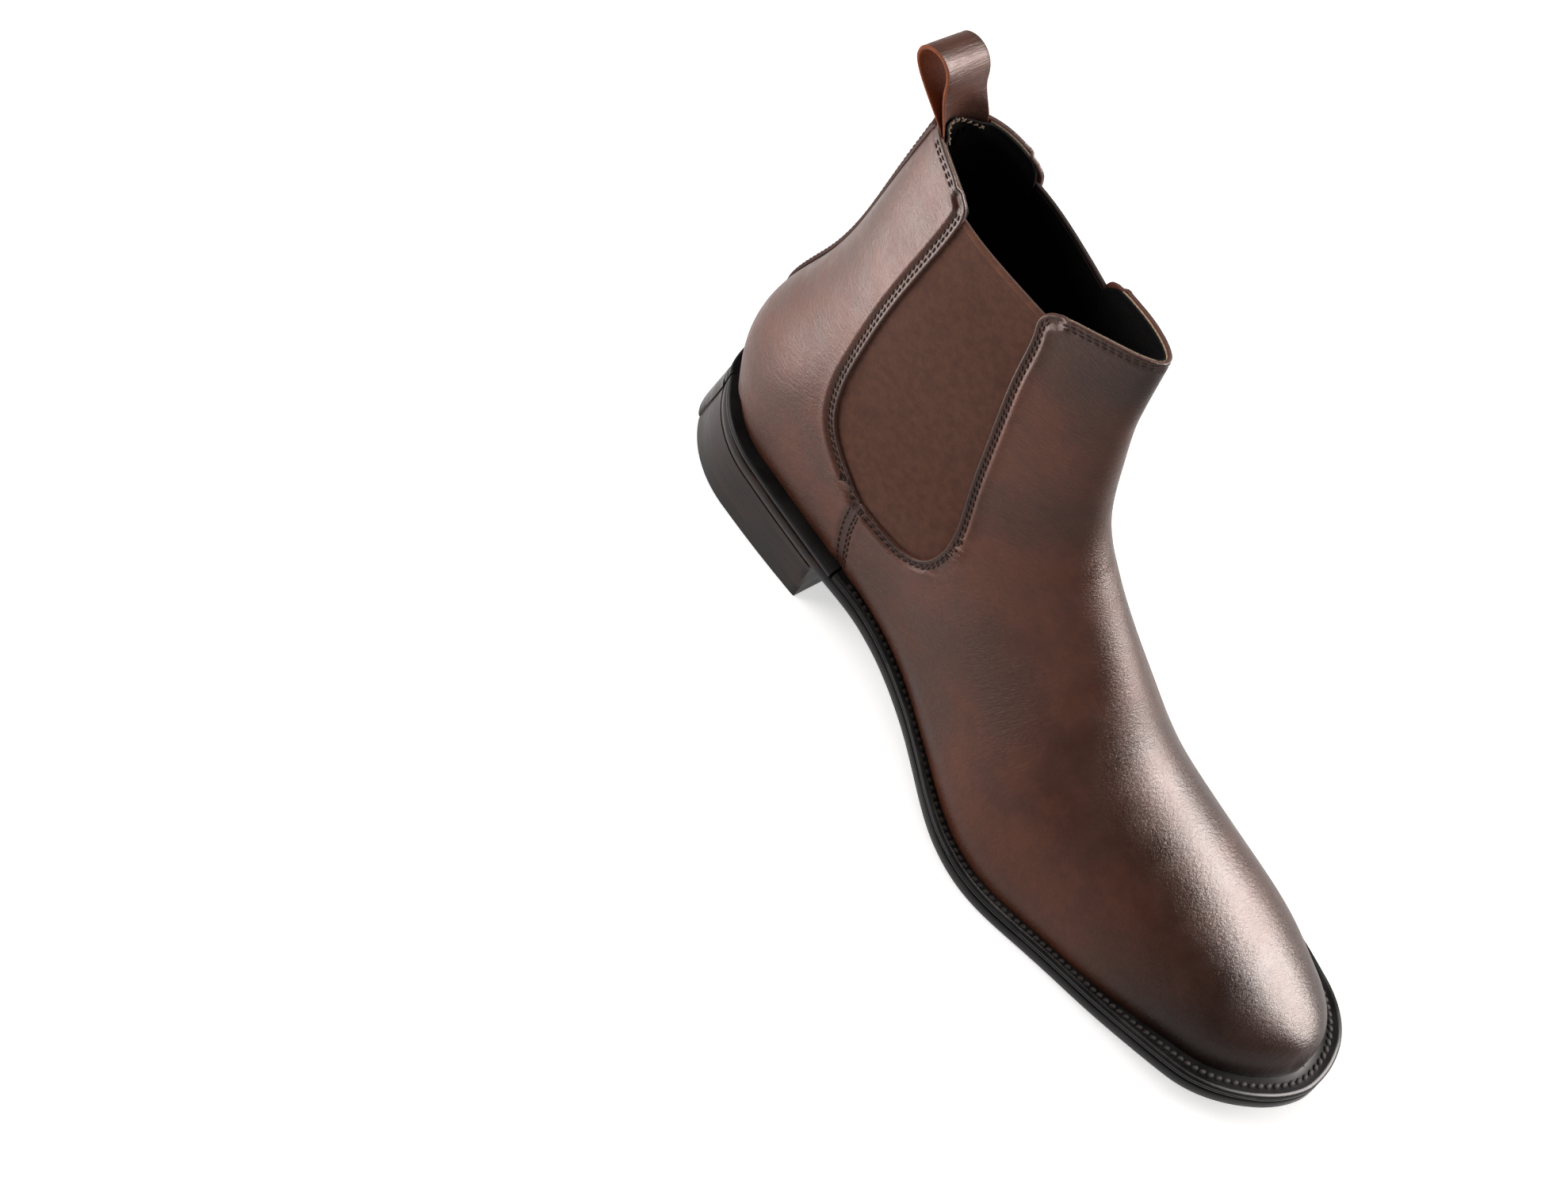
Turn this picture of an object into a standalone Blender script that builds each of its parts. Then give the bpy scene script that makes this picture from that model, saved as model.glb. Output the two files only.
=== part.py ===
"""Chelsea boot, right foot: leather upper, elastic gores, linings, welted sole and stacked heel.

Lengths below are millimetres in the last's own axes: x runs forward from behind the heel, y runs
to the medial side and z runs up from the ground.  in_metres() moves them to the part's frame,
whose origin is on the ground under the middle of the boot, toe to +X.
"""
import math

import bmesh
import bpy
import numpy as np
from mathutils import Vector

# ---- frame -------------------------------------------------------------------------------------
MM = 0.001
MIDDLE_X = 154.5
MIDDLE_Y = -2.41
GAP = 0.3

# ---- the last: fan sections from the ridge down to the feather edge, then up the back -------------
# ridge x, ridge z, outer x, outer z, length of the rounded crown along the section
SECTIONS = np.array([
    (300.0, 27.0, 300.0, 20.0, 20.0), (297.5, 33.0, 297.5, 19.7, 34.0), (291.0, 38.0, 291.0, 18.7, 47.0),
    (275.5, 43.0, 276.0, 16.2, 62.0), (252.5, 51.0, 252.0, 12.4, 85.0), (226.0, 59.0, 226.0, 9.8, 112.0),
    (201.0, 68.0, 196.0, 9.6, 130.0), (185.0, 80.0, 155.0, 14.2, 134.0), (171.5, 90.5, 105.0, 25.5, 132.0),
    (160.0, 99.0, 55.0, 32.0, 126.0), (150.5, 107.5, 10.0, 34.0, 121.0), (143.5, 117.0, 4.5, 52.0, 117.0),
    (139.0, 128.5, 6.5, 74.0, 115.0), (136.0, 140.5, 13.5, 98.0, 113.0), (133.5, 152.0, 18.0, 122.0, 111.0),
    (131.5, 163.0, 20.0, 147.0, 109.0), (130.3, 178.0, 21.8, 178.0, 107.0), (129.0, 202.0, 24.0, 214.0, 104.0)])
HEEL_SECTION = 10
HEEL_CORNER_X = 10.0
SKIRT = 3.0
WIDTH_X = (0, 30, 60, 90, 120, 150, 175, 195, 215, 240, 262, 280, 300)
LATERAL_WIDTH = (32.5, 32.5, 32, 30.5, 31.5, 40.5, 49.5, 52, 49, 43.5, 37, 31.5, 24)
MEDIAL_WIDTH = (31, 33, 32.5, 31, 32, 37, 43, 44.5, 45.5, 42.5, 37.5, 31, 27)
SHAFT_Z = (30, 60, 90, 120, 150, 175, 200)
SHAFT_WIDTH = (34, 34.5, 31.5, 29, 25.5, 20, 16.5)
SWING_X = (0, 100, 180, 240, 300)
SWING_Y = (0, 0, -1.5, 3, 5)
BACK_ROUND_Z = (20, 60, 110, 175)
BACK_ROUND = (33, 36, 44, 50)
TOE_X = 300.0
TOE_ROUND = 24.0
TUCK = 1.8
TUCK_HEIGHT = 12.0

# ---- leather, elastic and sole thicknesses ---------------------------------------------------------
LAYER_GAP = 0.5
OUTER = 1.4
MIDDLE = 0.8
LINING = 0.8
MIDDLE_DEPTH = OUTER + LAYER_GAP
LINING_DEPTH = MIDDLE_DEPTH + MIDDLE + LAYER_GAP
STRIP = 1.0
STRIP_GAP = 0.55
WELT = 3.2
WELT_TUCK = 1.8
INSOLE = 1.6
CORK = 1.3
SHANK = 0.8
SOLE = 5.3
SOCK = 1.0
WELT_MARGIN = 3.6
TOE_MARGIN = 7.2
WAIST_MARGIN = 2.6
HEEL_MARGIN = 4.4
WELT_START_X = 88.0
INSOLE_INSET = 2.2
CORK_INSET = 2.6
SOCK_INSET = 6.6

# ---- outlines of the panels in side view (x, z) -------------------------------------------------------
SEAM = ((86.5, 24.0), (85.0, 35.0), (82.0, 47.5), (81.8, 62.5))
GORE_REAR = ((81.8, 62.5), (69.0, 71.5), (60.3, 80.5), (55.8, 92.0), (53.7, 110.0), (53.2, 137.0), (53.9, 157.0),
             (54.2, 182.0))
GORE_FRONT = ((81.8, 62.5), (92.0, 61.6), (103.2, 62.9), (109.8, 68.0), (112.9, 77.0), (112.6, 87.0),
              (108.3, 103.0), (103.8, 123.5), (99.7, 143.8), (96.5, 159.0), (93.0, 179.0))
GORE_LAP = 7.0
GORE_TOP = ((40.0, 180.6), (74.0, 180.7), (106.0, 180.4))
GORE_SHOULDER_Z = 179.0
GORE_MIDDLE_X = 80.0
QUARTER_TOP = ((52.4, 185.4), (46.5, 188.3), (38.0, 189.4), (23.5, 187.6), (-6.0, 183.5))
VAMP_TOP = ((94.5, 184.6), (100.2, 189.0), (111.3, 193.8), (120.5, 197.0), (130.0, 199.8), (150.0, 204.5))
TAPE = 6.0
TAPE_REAR_X = 45.5
TAPE_FRONT_X = 104.0
PUFF_X = 243.0
COUNTER = ((62.0, 20.0), (61.0, 44.0), (52.0, 57.0), (36.0, 67.0), (18.0, 73.0), (-8.0, 77.0))
STRIP_EDGE = ((9.0, 186.4), (8.2, 155.0), (6.5, 115.0), (5.5, 85.0), (3.5, 66.0), (1.2, 58.0))

# ---- pull tab ------------------------------------------------------------------------------------------
TAB_WIDTH = 18.0
TAB_X = 24.6
TAB_Z = 187.8
TAB_LENGTH = 26.4
TAB_LOOP = 19.0
TAB_LEAN = math.radians(26)
TAB_THICK = 1.5
TAB_BASE = 1.3
TAB_RISE = 1.5
TAB_SLIT = 0.25
TAB_FOOT = 1.2
TAB_ANCHOR_DEPTH = 18.0
TAB_ANCHOR_DROP = 1.6

# ---- heel --------------------------------------------------------------------------------------------------
BREAST_X = 80.0
HEEL_BACK_X = 1.8
HEEL_TOP_BACK_X = 4.4
HEEL_HALF_WIDTH = 35.4
HEEL_REACH = 38.0
HEEL_HIGH = 26.0
BREAST_SLOPE = 1.5
BREAST_CORNER = 1.0
HEEL_LEVELS = (0.0, 6.0, 12.0, 18.0)
HEEL_SIDE_X = (71.0, 61.0, 51.0)

# ---- shank -------------------------------------------------------------------------------------------------
SHANK_WIDTH = 15.0
SHANK_START = 48.0
SHANK_END = 168.0

# ---- fineness of the meshes --------------------------------------------------------------------------------
SIDE_STEPS = 9
TOE_STEPS = (0.5, 1.5, 2.5, 3.5)
HEEL_STEPS = (9.3, 9.6)


def natural(knots, values):
    """Natural cubic spline through values (numbers or rows) at the knots."""
    x = np.asarray(knots, float)
    y = np.asarray(values, float)
    count = len(x)
    step = np.diff(x)
    matrix = np.eye(count)
    right = np.zeros(y.shape)
    for i in range(1, count - 1):
        matrix[i, i - 1:i + 2] = step[i - 1], 2 * (step[i - 1] + step[i]), step[i]
        right[i] = 6 * ((y[i + 1] - y[i]) / step[i] - (y[i] - y[i - 1]) / step[i - 1])
    bend = np.linalg.solve(matrix, right)

    def value(at):
        at = np.clip(np.asarray(at, float), x[0], x[-1])
        i = np.clip(np.searchsorted(x, at) - 1, 0, count - 2)
        low, high, span = at - x[i], x[i + 1] - at, step[i]
        if y.ndim > 1:
            low, high, span = low[..., None], high[..., None], span[..., None]
        curved = bend[i] * high ** 3 / (6 * span) + bend[i + 1] * low ** 3 / (6 * span)
        straight = (y[i] / span - bend[i] * span / 6) * high + (y[i + 1] / span - bend[i + 1] * span / 6) * low
        return curved + straight
    return value


def smooth(t):
    t = np.clip(t, 0, 1)
    return t * t * (3 - 2 * t)


def curve_through(points, steps):
    """Points along a smooth curve through the given ones, evenly spaced by chord."""
    points = np.asarray(points, float)
    chord = np.r_[0, np.cumsum(np.hypot(*np.diff(points, axis=0).T))]
    return natural(chord, points)(np.linspace(0, chord[-1], steps))


section_at = natural(np.arange(len(SECTIONS)), SECTIONS)
lateral_width = natural(WIDTH_X, LATERAL_WIDTH)
medial_width = natural(WIDTH_X, MEDIAL_WIDTH)
shaft_width = natural(SHAFT_Z, SHAFT_WIDTH)
swing_at = natural(SWING_X, SWING_Y)
back_round = natural(BACK_ROUND_Z, BACK_ROUND)
back_x = natural(SECTIONS[HEEL_SECTION:, 3], SECTIONS[HEEL_SECTION:, 2])
feather_z = natural(SECTIONS[HEEL_SECTION::-1, 2], SECTIONS[HEEL_SECTION::-1, 3])


def section(index):
    """Ridge point, outer point (carried below the feather edge) and crown length of a section."""
    row = np.array(section_at(index))
    round_heel = np.clip(HEEL_SECTION - np.asarray(index, float), 0, 1) ** 2
    heel_x = HEEL_CORNER_X + (SECTIONS[HEEL_SECTION - 1, 2] - HEEL_CORNER_X) * round_heel
    row[..., 2] = np.where(index > HEEL_SECTION - 1, heel_x, row[..., 2])
    row[..., 3] = np.where((index > HEEL_SECTION - 1) & (index <= HEEL_SECTION), feather_z(heel_x), row[..., 3])
    row[..., 3] -= SKIRT * smooth(HEEL_SECTION + 1 - index)
    row[..., 2] = np.where(index > HEEL_SECTION, back_x(row[..., 3]), row[..., 2])
    return row


def find_section(x, z):
    """Index of the fan section that passes through a side-view point."""
    low = np.zeros_like(x)
    high = np.full_like(x, len(SECTIONS) - 1.0)
    for _ in range(30):
        index = (low + high) / 2
        row = section(index)
        turn = (row[..., 2] - row[..., 0]) * (z - row[..., 1]) - (row[..., 3] - row[..., 1]) * (x - row[..., 0])
        low = np.where(turn < 0, index, low)
        high = np.where(turn < 0, high, index)
    return (low + high) / 2


def half_width(x, z, side, index=None):
    """Distance of the last's surface from its centre plane at a side-view point."""
    x, z = np.broadcast_arrays(np.asarray(x, float), np.asarray(z, float))
    if index is None:
        index = find_section(x, z)
    row = section(index)
    along = (x - row[..., 0]) * (row[..., 2] - row[..., 0]) + (z - row[..., 1]) * (row[..., 3] - row[..., 1])
    down = np.where(along > 0, np.hypot(x - row[..., 0], z - row[..., 1]), 0)
    toe = smooth((x - 215) / 75)
    crown = (1 - (1 - np.clip(down / row[..., 4], 0, 1)) ** (2 + 0.3 * toe)) ** (1 / (2 + 0.4 * toe))
    behind = np.clip((x - back_x(z)) / back_round(z), 0, 1)
    heel = (1 - (1 - behind) ** 2.1) ** (1 / 2.1)
    front = (1 - np.clip((x - TOE_X + TOE_ROUND) / TOE_ROUND, 0, 1) ** 2.3) ** (1 / 2.1)
    shaft = smooth((z - 40) / 55) * smooth((230 - x) / 90)
    foot = medial_width(x) if side > 0 else lateral_width(x)
    width = (foot * (1 - shaft) + shaft_width(z) * shaft) * crown * heel * front
    above = np.clip(1 - (z - feather_z(x)) / TUCK_HEIGHT, 0, 1.2)
    tuck = TUCK * above ** 2 * (index < HEEL_SECTION)
    return width - np.minimum(tuck, width)


def centre_y(x):
    return swing_at(x) * smooth((x - 150) / 60)


def in_metres(points):
    points = np.asarray(points, float)
    return (points - np.array((MIDDLE_X, MIDDLE_Y, 0.0))) * MM


# ---- scene helpers -------------------------------------------------------------------------------------------
def clear_scene():
    for item in list(bpy.data.objects):
        bpy.data.objects.remove(item, do_unlink=True)


def new_collection(name):
    collection = bpy.data.collections.new(name)
    bpy.context.scene.collection.children.link(collection)
    return collection


def material(name, colour, roughness, metallic=0.0):
    made = bpy.data.materials.get(name)
    if made is None:
        made = bpy.data.materials.new(name)
        made.use_nodes = True
        shader = made.node_tree.nodes['Principled BSDF']
        shader.inputs['Base Color'].default_value = (*colour, 1.0)
        shader.inputs['Roughness'].default_value = roughness
        shader.inputs['Metallic'].default_value = metallic
    return made


clear_scene()
PARTS = new_collection('chelsea_boot')
CUTTERS = new_collection('cutters')
LEATHER = ('brown_leather', (0.075, 0.030, 0.020), 0.38)
GORE = ('brown_elastic', (0.060, 0.026, 0.016), 0.85)
SUEDE = ('rust_suede', (0.20, 0.075, 0.040), 0.8)
BLACK_LINING = ('black_lining', (0.012, 0.011, 0.011), 0.6)
TAPE_CLOTH = ('cream_tape', (0.55, 0.45, 0.34), 0.8)
STIFFENER = ('stiffener_board', (0.42, 0.33, 0.24), 0.8)
BOARD = ('insole_board', (0.45, 0.34, 0.22), 0.85)
CORK_LOOK = ('cork', (0.36, 0.22, 0.12), 0.9)
STEEL = ('shank_steel', (0.45, 0.45, 0.46), 0.35, 1.0)
EDGE = ('black_sole_leather', (0.020, 0.017, 0.016), 0.35)
RUBBER = ('black_rubber', (0.016, 0.016, 0.016), 0.55)


def place(name, mesh, look, collection=PARTS):
    item = bpy.data.objects.new(name, mesh)
    collection.objects.link(item)
    if look:
        mesh.materials.append(material(*look))
    if collection is CUTTERS:
        item.hide_render = True
        item.display_type = 'WIRE'
    return item


def mesh_from(points, faces, weld=0.0, triangles=False):
    mesh = bpy.data.meshes.new('shape')
    mesh.from_pydata([tuple(p) for p in in_metres(points)], [], faces)
    shape = bmesh.new()
    shape.from_mesh(mesh)
    if weld:
        bmesh.ops.remove_doubles(shape, verts=shape.verts, dist=weld * MM)
    if triangles:
        bmesh.ops.triangulate(shape, faces=shape.faces, quad_method='BEAUTY')
    bmesh.ops.recalc_face_normals(shape, faces=shape.faces)
    shape.to_mesh(mesh)
    shape.free()
    mesh.shade_smooth()
    mesh.set_sharp_from_angle(angle=math.radians(40))
    return mesh


def prism(name, outline, axis, low, high):
    """Cutter: a flat outline swept along X, Y or Z."""
    flat = np.asarray(outline, float)
    count = len(flat)
    ends = []
    for level in (low, high):
        ends.append(np.insert(flat, axis, level, axis=1))
    sides = [(i, (i + 1) % count, (i + 1) % count + count, i + count) for i in range(count)]
    faces = [tuple(range(count)), tuple(range(2 * count - 1, count - 1, -1))] + sides
    return place(name, mesh_from(np.vstack(ends), faces), None, CUTTERS)


def boolean(item, cutter, operation):
    step = item.modifiers.new(operation.lower() + '_' + cutter.name, 'BOOLEAN')
    step.object = cutter
    step.operation = operation
    step.solver = 'EXACT'


def solidify(item, thickness):
    step = item.modifiers.new('thickness', 'SOLIDIFY')
    step.thickness = thickness * MM
    step.offset = -1.0


# ---- the skin: one sheet over the whole last, moved in or out for each layer ------------------------------
def skin_mesh():
    stations = np.array(sorted(set(range(len(SECTIONS))) | set(TOE_STEPS) | set(HEEL_STEPS)))
    across = np.linspace(0, 1, SIDE_STEPS + 1)
    index, share = np.meshgrid(stations, across, indexing='ij')
    to_heel = smooth(index - HEEL_SECTION + 1)
    share = share ** 2 * (1 - to_heel) + (1 - np.cos(np.pi * share)) / 2 * to_heel
    row = section(index)
    x = row[..., 0] + (row[..., 2] - row[..., 0]) * share
    z = row[..., 1] + (row[..., 3] - row[..., 1]) * share
    wide = {side: half_width(x, z, side, index) for side in (-1, 1)}
    columns = [(-1, k) for k in range(SIDE_STEPS, -1, -1)] + [(1, k) for k in range(1, SIDE_STEPS + 1)]
    points = []
    for i in range(len(stations)):
        for side, k in columns:
            points.append((x[i, k], centre_y(x[i, k]) + side * wide[side][i, k], z[i, k]))
    wide_count = len(columns)
    faces = []
    for i in range(len(stations) - 1):
        for k in range(wide_count - 1):
            corner = i * wide_count + k
            faces.append((corner, corner + wide_count, corner + wide_count + 1, corner + 1))
    return mesh_from(points, faces, weld=0.02, triangles=True)


SKIN = skin_mesh()


def layer(name, depth, thickness, look, outline, axis=1, span=(-90.0, 90.0)):
    """A panel: the skin at a depth, given its thickness and kept inside an outline."""
    mesh = SKIN.copy()
    inward = np.array([tuple(v.co + v.normal * (-depth * MM)) for v in SKIN.vertices])
    for vertex, point in zip(mesh.vertices, inward):
        vertex.co = point
    item = place(name, mesh, look)
    solidify(item, thickness)
    boolean(item, prism(name + '_outline', outline, axis, *span), 'INTERSECT')
    return item


def feather_line(start, end, steps, lift=0.0):
    at = np.linspace(start, end, steps)
    return [(x, z) for x, z in zip(at, feather_z(np.clip(at, 10, 300)) + lift)]


def offset_line(points, distance):
    """The line moved sideways, to its left for a positive distance."""
    points = np.asarray(points, float)
    tangent = np.gradient(points, axis=0)
    tangent /= np.linalg.norm(tangent, axis=1)[:, None]
    return points + np.stack([-tangent[:, 1], tangent[:, 0]], 1) * distance


seam_line = curve_through(SEAM, 5)
rear_edge = curve_through(GORE_REAR, 17)
front_edge = curve_through(GORE_FRONT, 20)


def quarter_outline(drop=0.0):
    seam = seam_line - np.array((GAP / 2, 0))
    edge = rear_edge - np.array((GAP / 2, 0))
    top = curve_through(QUARTER_TOP, 10) - np.array((0, drop))
    return feather_line(-6, seam[0][0], 12) + [tuple(p) for p in seam[1:]] + [tuple(p) for p in edge[1:]] \
        + [tuple(p) for p in top]


def vamp_outline(drop=0.0):
    seam = seam_line + np.array((GAP / 2, 0))
    edge = front_edge + np.array((GAP / 2, 0))
    top = curve_through(VAMP_TOP, 10) - np.array((0, drop))
    bottom = feather_line(seam[0][0], 306, 26)
    return [tuple(p) for p in top[::-1]] + [tuple(p) for p in edge[:0:-1]] + [tuple(p) for p in seam[:0:-1]] \
        + bottom + [(306, 60)]


def sides():
    return (('lateral', (-90.0, -GAP / 2)), ('medial', (GAP / 2, 90.0)))


def make_upper():
    layer('vamp', 0.0, OUTER, LEATHER, vamp_outline())
    layer('vamp_lining', LINING_DEPTH, LINING, BLACK_LINING, vamp_outline(0.8))
    for side, span in sides():
        layer('quarter_' + side, 0.0, OUTER, LEATHER, quarter_outline(), span=span)
        layer('quarter_lining_' + side, LINING_DEPTH, LINING, BLACK_LINING, quarter_outline(0.8), span=span)


def make_gores():
    rear = offset_line(rear_edge, GORE_LAP)
    front = offset_line(front_edge, -GORE_LAP)
    top = curve_through(GORE_TOP, 7)
    reach = rear[(rear[:, 1] < GORE_SHOULDER_Z) & (rear[:, 0] < GORE_MIDDLE_X)][::-1]
    under = front[(front[:, 1] < GORE_SHOULDER_Z) & (front[:, 0] > GORE_MIDDLE_X)]
    top = top[(top[:, 0] > reach[0][0] + 0.5) & (top[:, 0] < under[-1][0] - 0.5)]
    corner_rear = (reach[0][0], GORE_TOP[0][1])
    corner_front = (under[-1][0], GORE_TOP[-1][1])
    outline = [corner_rear] + [tuple(p) for p in reach] + [tuple(p) for p in under] + [corner_front]
    outline += [tuple(p) for p in top[::-1]]
    for side, span in sides():
        layer('gore_' + side, MIDDLE_DEPTH, MIDDLE, GORE, outline, span=span)


def make_tapes():
    """Reinforcing tape between leather and lining along the top edges."""
    edge = curve_through(QUARTER_TOP, 16)
    edge = edge[edge[:, 0] < TAPE_REAR_X]
    band = [tuple(p) for p in edge] + [tuple(p) for p in (edge - np.array((0, TAPE)))[::-1]]
    clear = TAB_WIDTH / 2 + GAP
    for side, sign in (('lateral', -1), ('medial', 1)):
        span = sorted((sign * clear, sign * 90.0))
        layer('topline_tape_' + side, MIDDLE_DEPTH, MIDDLE, TAPE_CLOTH, band, span=span)
    edge = curve_through(VAMP_TOP, 16)
    edge = edge[edge[:, 0] > TAPE_FRONT_X]
    band = [tuple(p) for p in edge] + [tuple(p) for p in (edge - np.array((0, TAPE)))[::-1]]
    layer('topline_tape_front', MIDDLE_DEPTH, MIDDLE, TAPE_CLOTH, band)


def make_stiffeners():
    toe = feather_line(PUFF_X + 6, 306, 12, lift=0.2) + [(306, 60), (PUFF_X - 6, 60)]
    layer('toe_puff', MIDDLE_DEPTH, MIDDLE, STIFFENER, toe)
    base = feather_line(-8, COUNTER[0][0], 10, lift=0.2)
    counter = base + [tuple(p) for p in curve_through(COUNTER[1:], 12)]
    layer('heel_counter', MIDDLE_DEPTH, MIDDLE, STIFFENER, counter)


def back_point(y, z):
    """Place on the back of the last at a distance y from the seam."""
    low = float(back_x(z))
    high = low + 40.0
    for _ in range(30):
        x = (low + high) / 2
        if half_width(x, z, math.copysign(1, y)) < abs(y):
            low = x
        else:
            high = x
    return (x, y, z)


def make_back_strip():
    edge = curve_through(STRIP_EDGE, 11)
    shares = np.linspace(-1, 1, 7)
    points = [back_point(y * share, z) for y, z in edge for share in shares]
    count = len(shares)
    faces = []
    for i in range(len(edge) - 1):
        for k in range(count - 1):
            corner = i * count + k
            faces.append((corner, corner + 1, corner + 1 + count, corner + count))
    mesh = mesh_from(points, faces)
    outward = -1.0 if mesh.vertices[count // 2].normal.x > 0 else 1.0
    if outward < 0:
        mesh.flip_normals()
    for vertex, normal in [(v, v.normal.copy()) for v in mesh.vertices]:
        vertex.co += normal * (STRIP_GAP + STRIP) * MM
    solidify(place('back_strip', mesh, LEATHER), STRIP)


# ---- pull tab -------------------------------------------------------------------------------------------------
def tab_lines(steps=28):
    """Side views of the loop's outside and inside: a teardrop, nearly shut at its foot, that leans back."""
    turn = (np.arange(steps) + 0.5) * 2 * np.pi / steps
    share = (1 - np.cos(turn)) / 2
    side = np.where(turn < np.pi, 1.0, -1.0)
    aside = TAB_LOOP / 2 * np.sin(turn) * share ** 0.8 + side * TAB_BASE * (1 - share) ** 3
    outer = np.stack([aside, TAB_LENGTH * share], 1)
    tangent = np.roll(outer, -1, axis=0) - np.roll(outer, 1, axis=0)
    tangent /= np.linalg.norm(tangent, axis=1)[:, None]
    inner = outer + np.stack([-tangent[:, 1], tangent[:, 0]], 1) * TAB_THICK
    inner[:, 0] = side * np.maximum(side * inner[:, 0], TAB_SLIT)
    inner[[0, -1], 0] = TAB_SLIT, -TAB_SLIT
    inner[:, 1] = TAB_FOOT + share * (inner[:, 1].max() - TAB_FOOT)
    lean = np.array([[math.cos(TAB_LEAN), math.sin(TAB_LEAN)], [-math.sin(TAB_LEAN), math.cos(TAB_LEAN)]])
    foot = np.array((TAB_X - TAB_RISE * math.sin(TAB_LEAN), TAB_Z + TAB_RISE * math.cos(TAB_LEAN)))
    return foot + outer @ lean, foot + inner @ lean


def make_pull_tab():
    outer, inner = tab_lines()
    count = len(outer)
    rings = []
    for line, y in ((outer, -TAB_WIDTH / 2), (outer, TAB_WIDTH / 2), (inner, TAB_WIDTH / 2), (inner, -TAB_WIDTH / 2)):
        rings.append(np.insert(line, 1, y, axis=1))
    points = np.vstack(rings)
    faces = []
    for ring in range(4):
        for i in range(count):
            j = (i + 1) % count
            after = (ring + 1) % 4
            faces.append((ring * count + i, ring * count + j, after * count + j, after * count + i))
    item = place('pull_tab', mesh_from(points, faces), LEATHER)
    pivot = Vector(in_metres((TAB_X, 0.0, TAB_Z)))
    for vertex in item.data.vertices:
        vertex.co -= pivot
    item.location = pivot
    low, high = TAB_Z - TAB_ANCHOR_DEPTH, TAB_Z - TAB_ANCHOR_DROP
    half = TAB_WIDTH / 2 - 1.5
    outline = [(-half, low), (half, low), (half, high), (-half, high)]
    layer('pull_tab_anchor', MIDDLE_DEPTH, MIDDLE, SUEDE, outline, axis=0, span=(-10.0, 60.0))


# ---- sole plates: outlines taken from the feather edge and followed by height --------------------------------
def foot_edge(x, side):
    """Plan points of the feather edge on one side of the foot."""
    return np.stack([x, centre_y(x) + side * half_width(x, feather_z(x), side)], 1)


def spread(line, least=0.8):
    """The line without points that crowd the one before."""
    kept = [line[0]]
    for point in line[1:]:
        if np.linalg.norm(point - kept[-1]) > least:
            kept.append(point)
    return np.array(kept)


def feather_outline(start, steps=30):
    """Plan line of the feather edge from the lateral side at start round the toe to the medial side."""
    x = start + (TOE_X - start) * (1 - (1 - np.linspace(0, 1, steps)) ** 2)
    return spread(np.vstack([foot_edge(x, -1), foot_edge(x, 1)[::-1]]))


def heel_outline(end, steps=15):
    """Plan line of the feather edge from the medial side at end round the heel to the lateral side."""
    x = HEEL_CORNER_X + (end - HEEL_CORNER_X) * (1 - np.linspace(0, 1, steps)) ** 2
    return spread(np.vstack([foot_edge(x, 1), foot_edge(x, -1)[::-1]]))


def whole_outline(margin_at, steps=44):
    """Closed plan outline; margin_at gives the margin for a place along the foot."""
    turn = np.linspace(0, np.pi, steps)
    x = HEEL_CORNER_X + (TOE_X - HEEL_CORNER_X) * (1 - np.cos(turn)) / 2
    line = spread(np.vstack([foot_edge(x, -1), foot_edge(x, 1)[::-1]]))
    if np.linalg.norm(line[-1] - line[0]) < 0.8:
        line = line[:-1]
    tangent = np.roll(line, -1, axis=0) - np.roll(line, 1, axis=0)
    tangent /= np.linalg.norm(tangent, axis=1)[:, None]
    outward = np.stack([tangent[:, 1], -tangent[:, 0]], 1)
    return line + outward * margin_at(line[:, 0])[:, None]


def sole_margin(x):
    """Forepart margin, drawn in at the waist and widest round the toe."""
    waist = smooth((x - 75) / 30) * smooth((175 - x) / 40)
    fore = smooth((x - 120) / 50)
    toe = smooth((x - 225) / 70)
    ball = HEEL_MARGIN + (WELT_MARGIN - HEEL_MARGIN) * fore + (WAIST_MARGIN - HEEL_MARGIN) * waist
    return ball + (TOE_MARGIN - WELT_MARGIN) * toe


def seat_z(x):
    """Height of the feather edge, level past its ends."""
    return feather_z(np.clip(np.asarray(x, float), HEEL_CORNER_X, TOE_X))


def plate(name, outline, top, thickness, look, across=3):
    """A plate inside a closed plan outline, its top at the height top(x), bent along the foot."""
    order = np.argsort(outline[:, 0])
    low_x, high_x = outline[order[0], 0], outline[order[-1], 0]
    first, last = order[0], order[-1]
    loop = np.roll(outline, -first, axis=0)
    turn_at = (last - first) % len(outline)
    lateral = loop[:turn_at + 1]
    medial = np.vstack([loop[turn_at:], loop[:1]])[::-1]
    stations = low_x + (high_x - low_x) * (1 - np.cos(np.linspace(0.09, np.pi - 0.09, 32))) / 2
    y_low = np.interp(stations, *lateral[np.argsort(lateral[:, 0])].T)
    y_high = np.interp(stations, *medial[np.argsort(medial[:, 0])].T)
    return strips(name, stations, np.minimum(y_low, y_high), np.maximum(y_low, y_high), top, thickness, look, across)


def strips(name, stations, y_low, y_high, top, thickness, look, across=3):
    """Closed plate from stations across the foot."""
    shares = np.linspace(0, 1, across)
    points = []
    for x, low, high in zip(stations, y_low, y_high):
        ceiling = float(top(x))
        thick = thickness(x) if callable(thickness) else thickness
        row = [(x, low + (high - low) * s) for s in shares]
        points += [(px, py, ceiling) for px, py in row]
        points += [(px, py, ceiling - float(thick)) for px, py in row[::-1]]
    ring = 2 * across
    faces = [tuple(range(ring)), tuple(range(len(points) - 1, len(points) - 1 - ring, -1))]
    for i in range(len(stations) - 1):
        for k in range(ring):
            a = i * ring + k
            b = i * ring + (k + 1) % ring
            faces.append((a, b, b + ring, a + ring))
    return place(name, mesh_from(points, faces), look)


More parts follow.
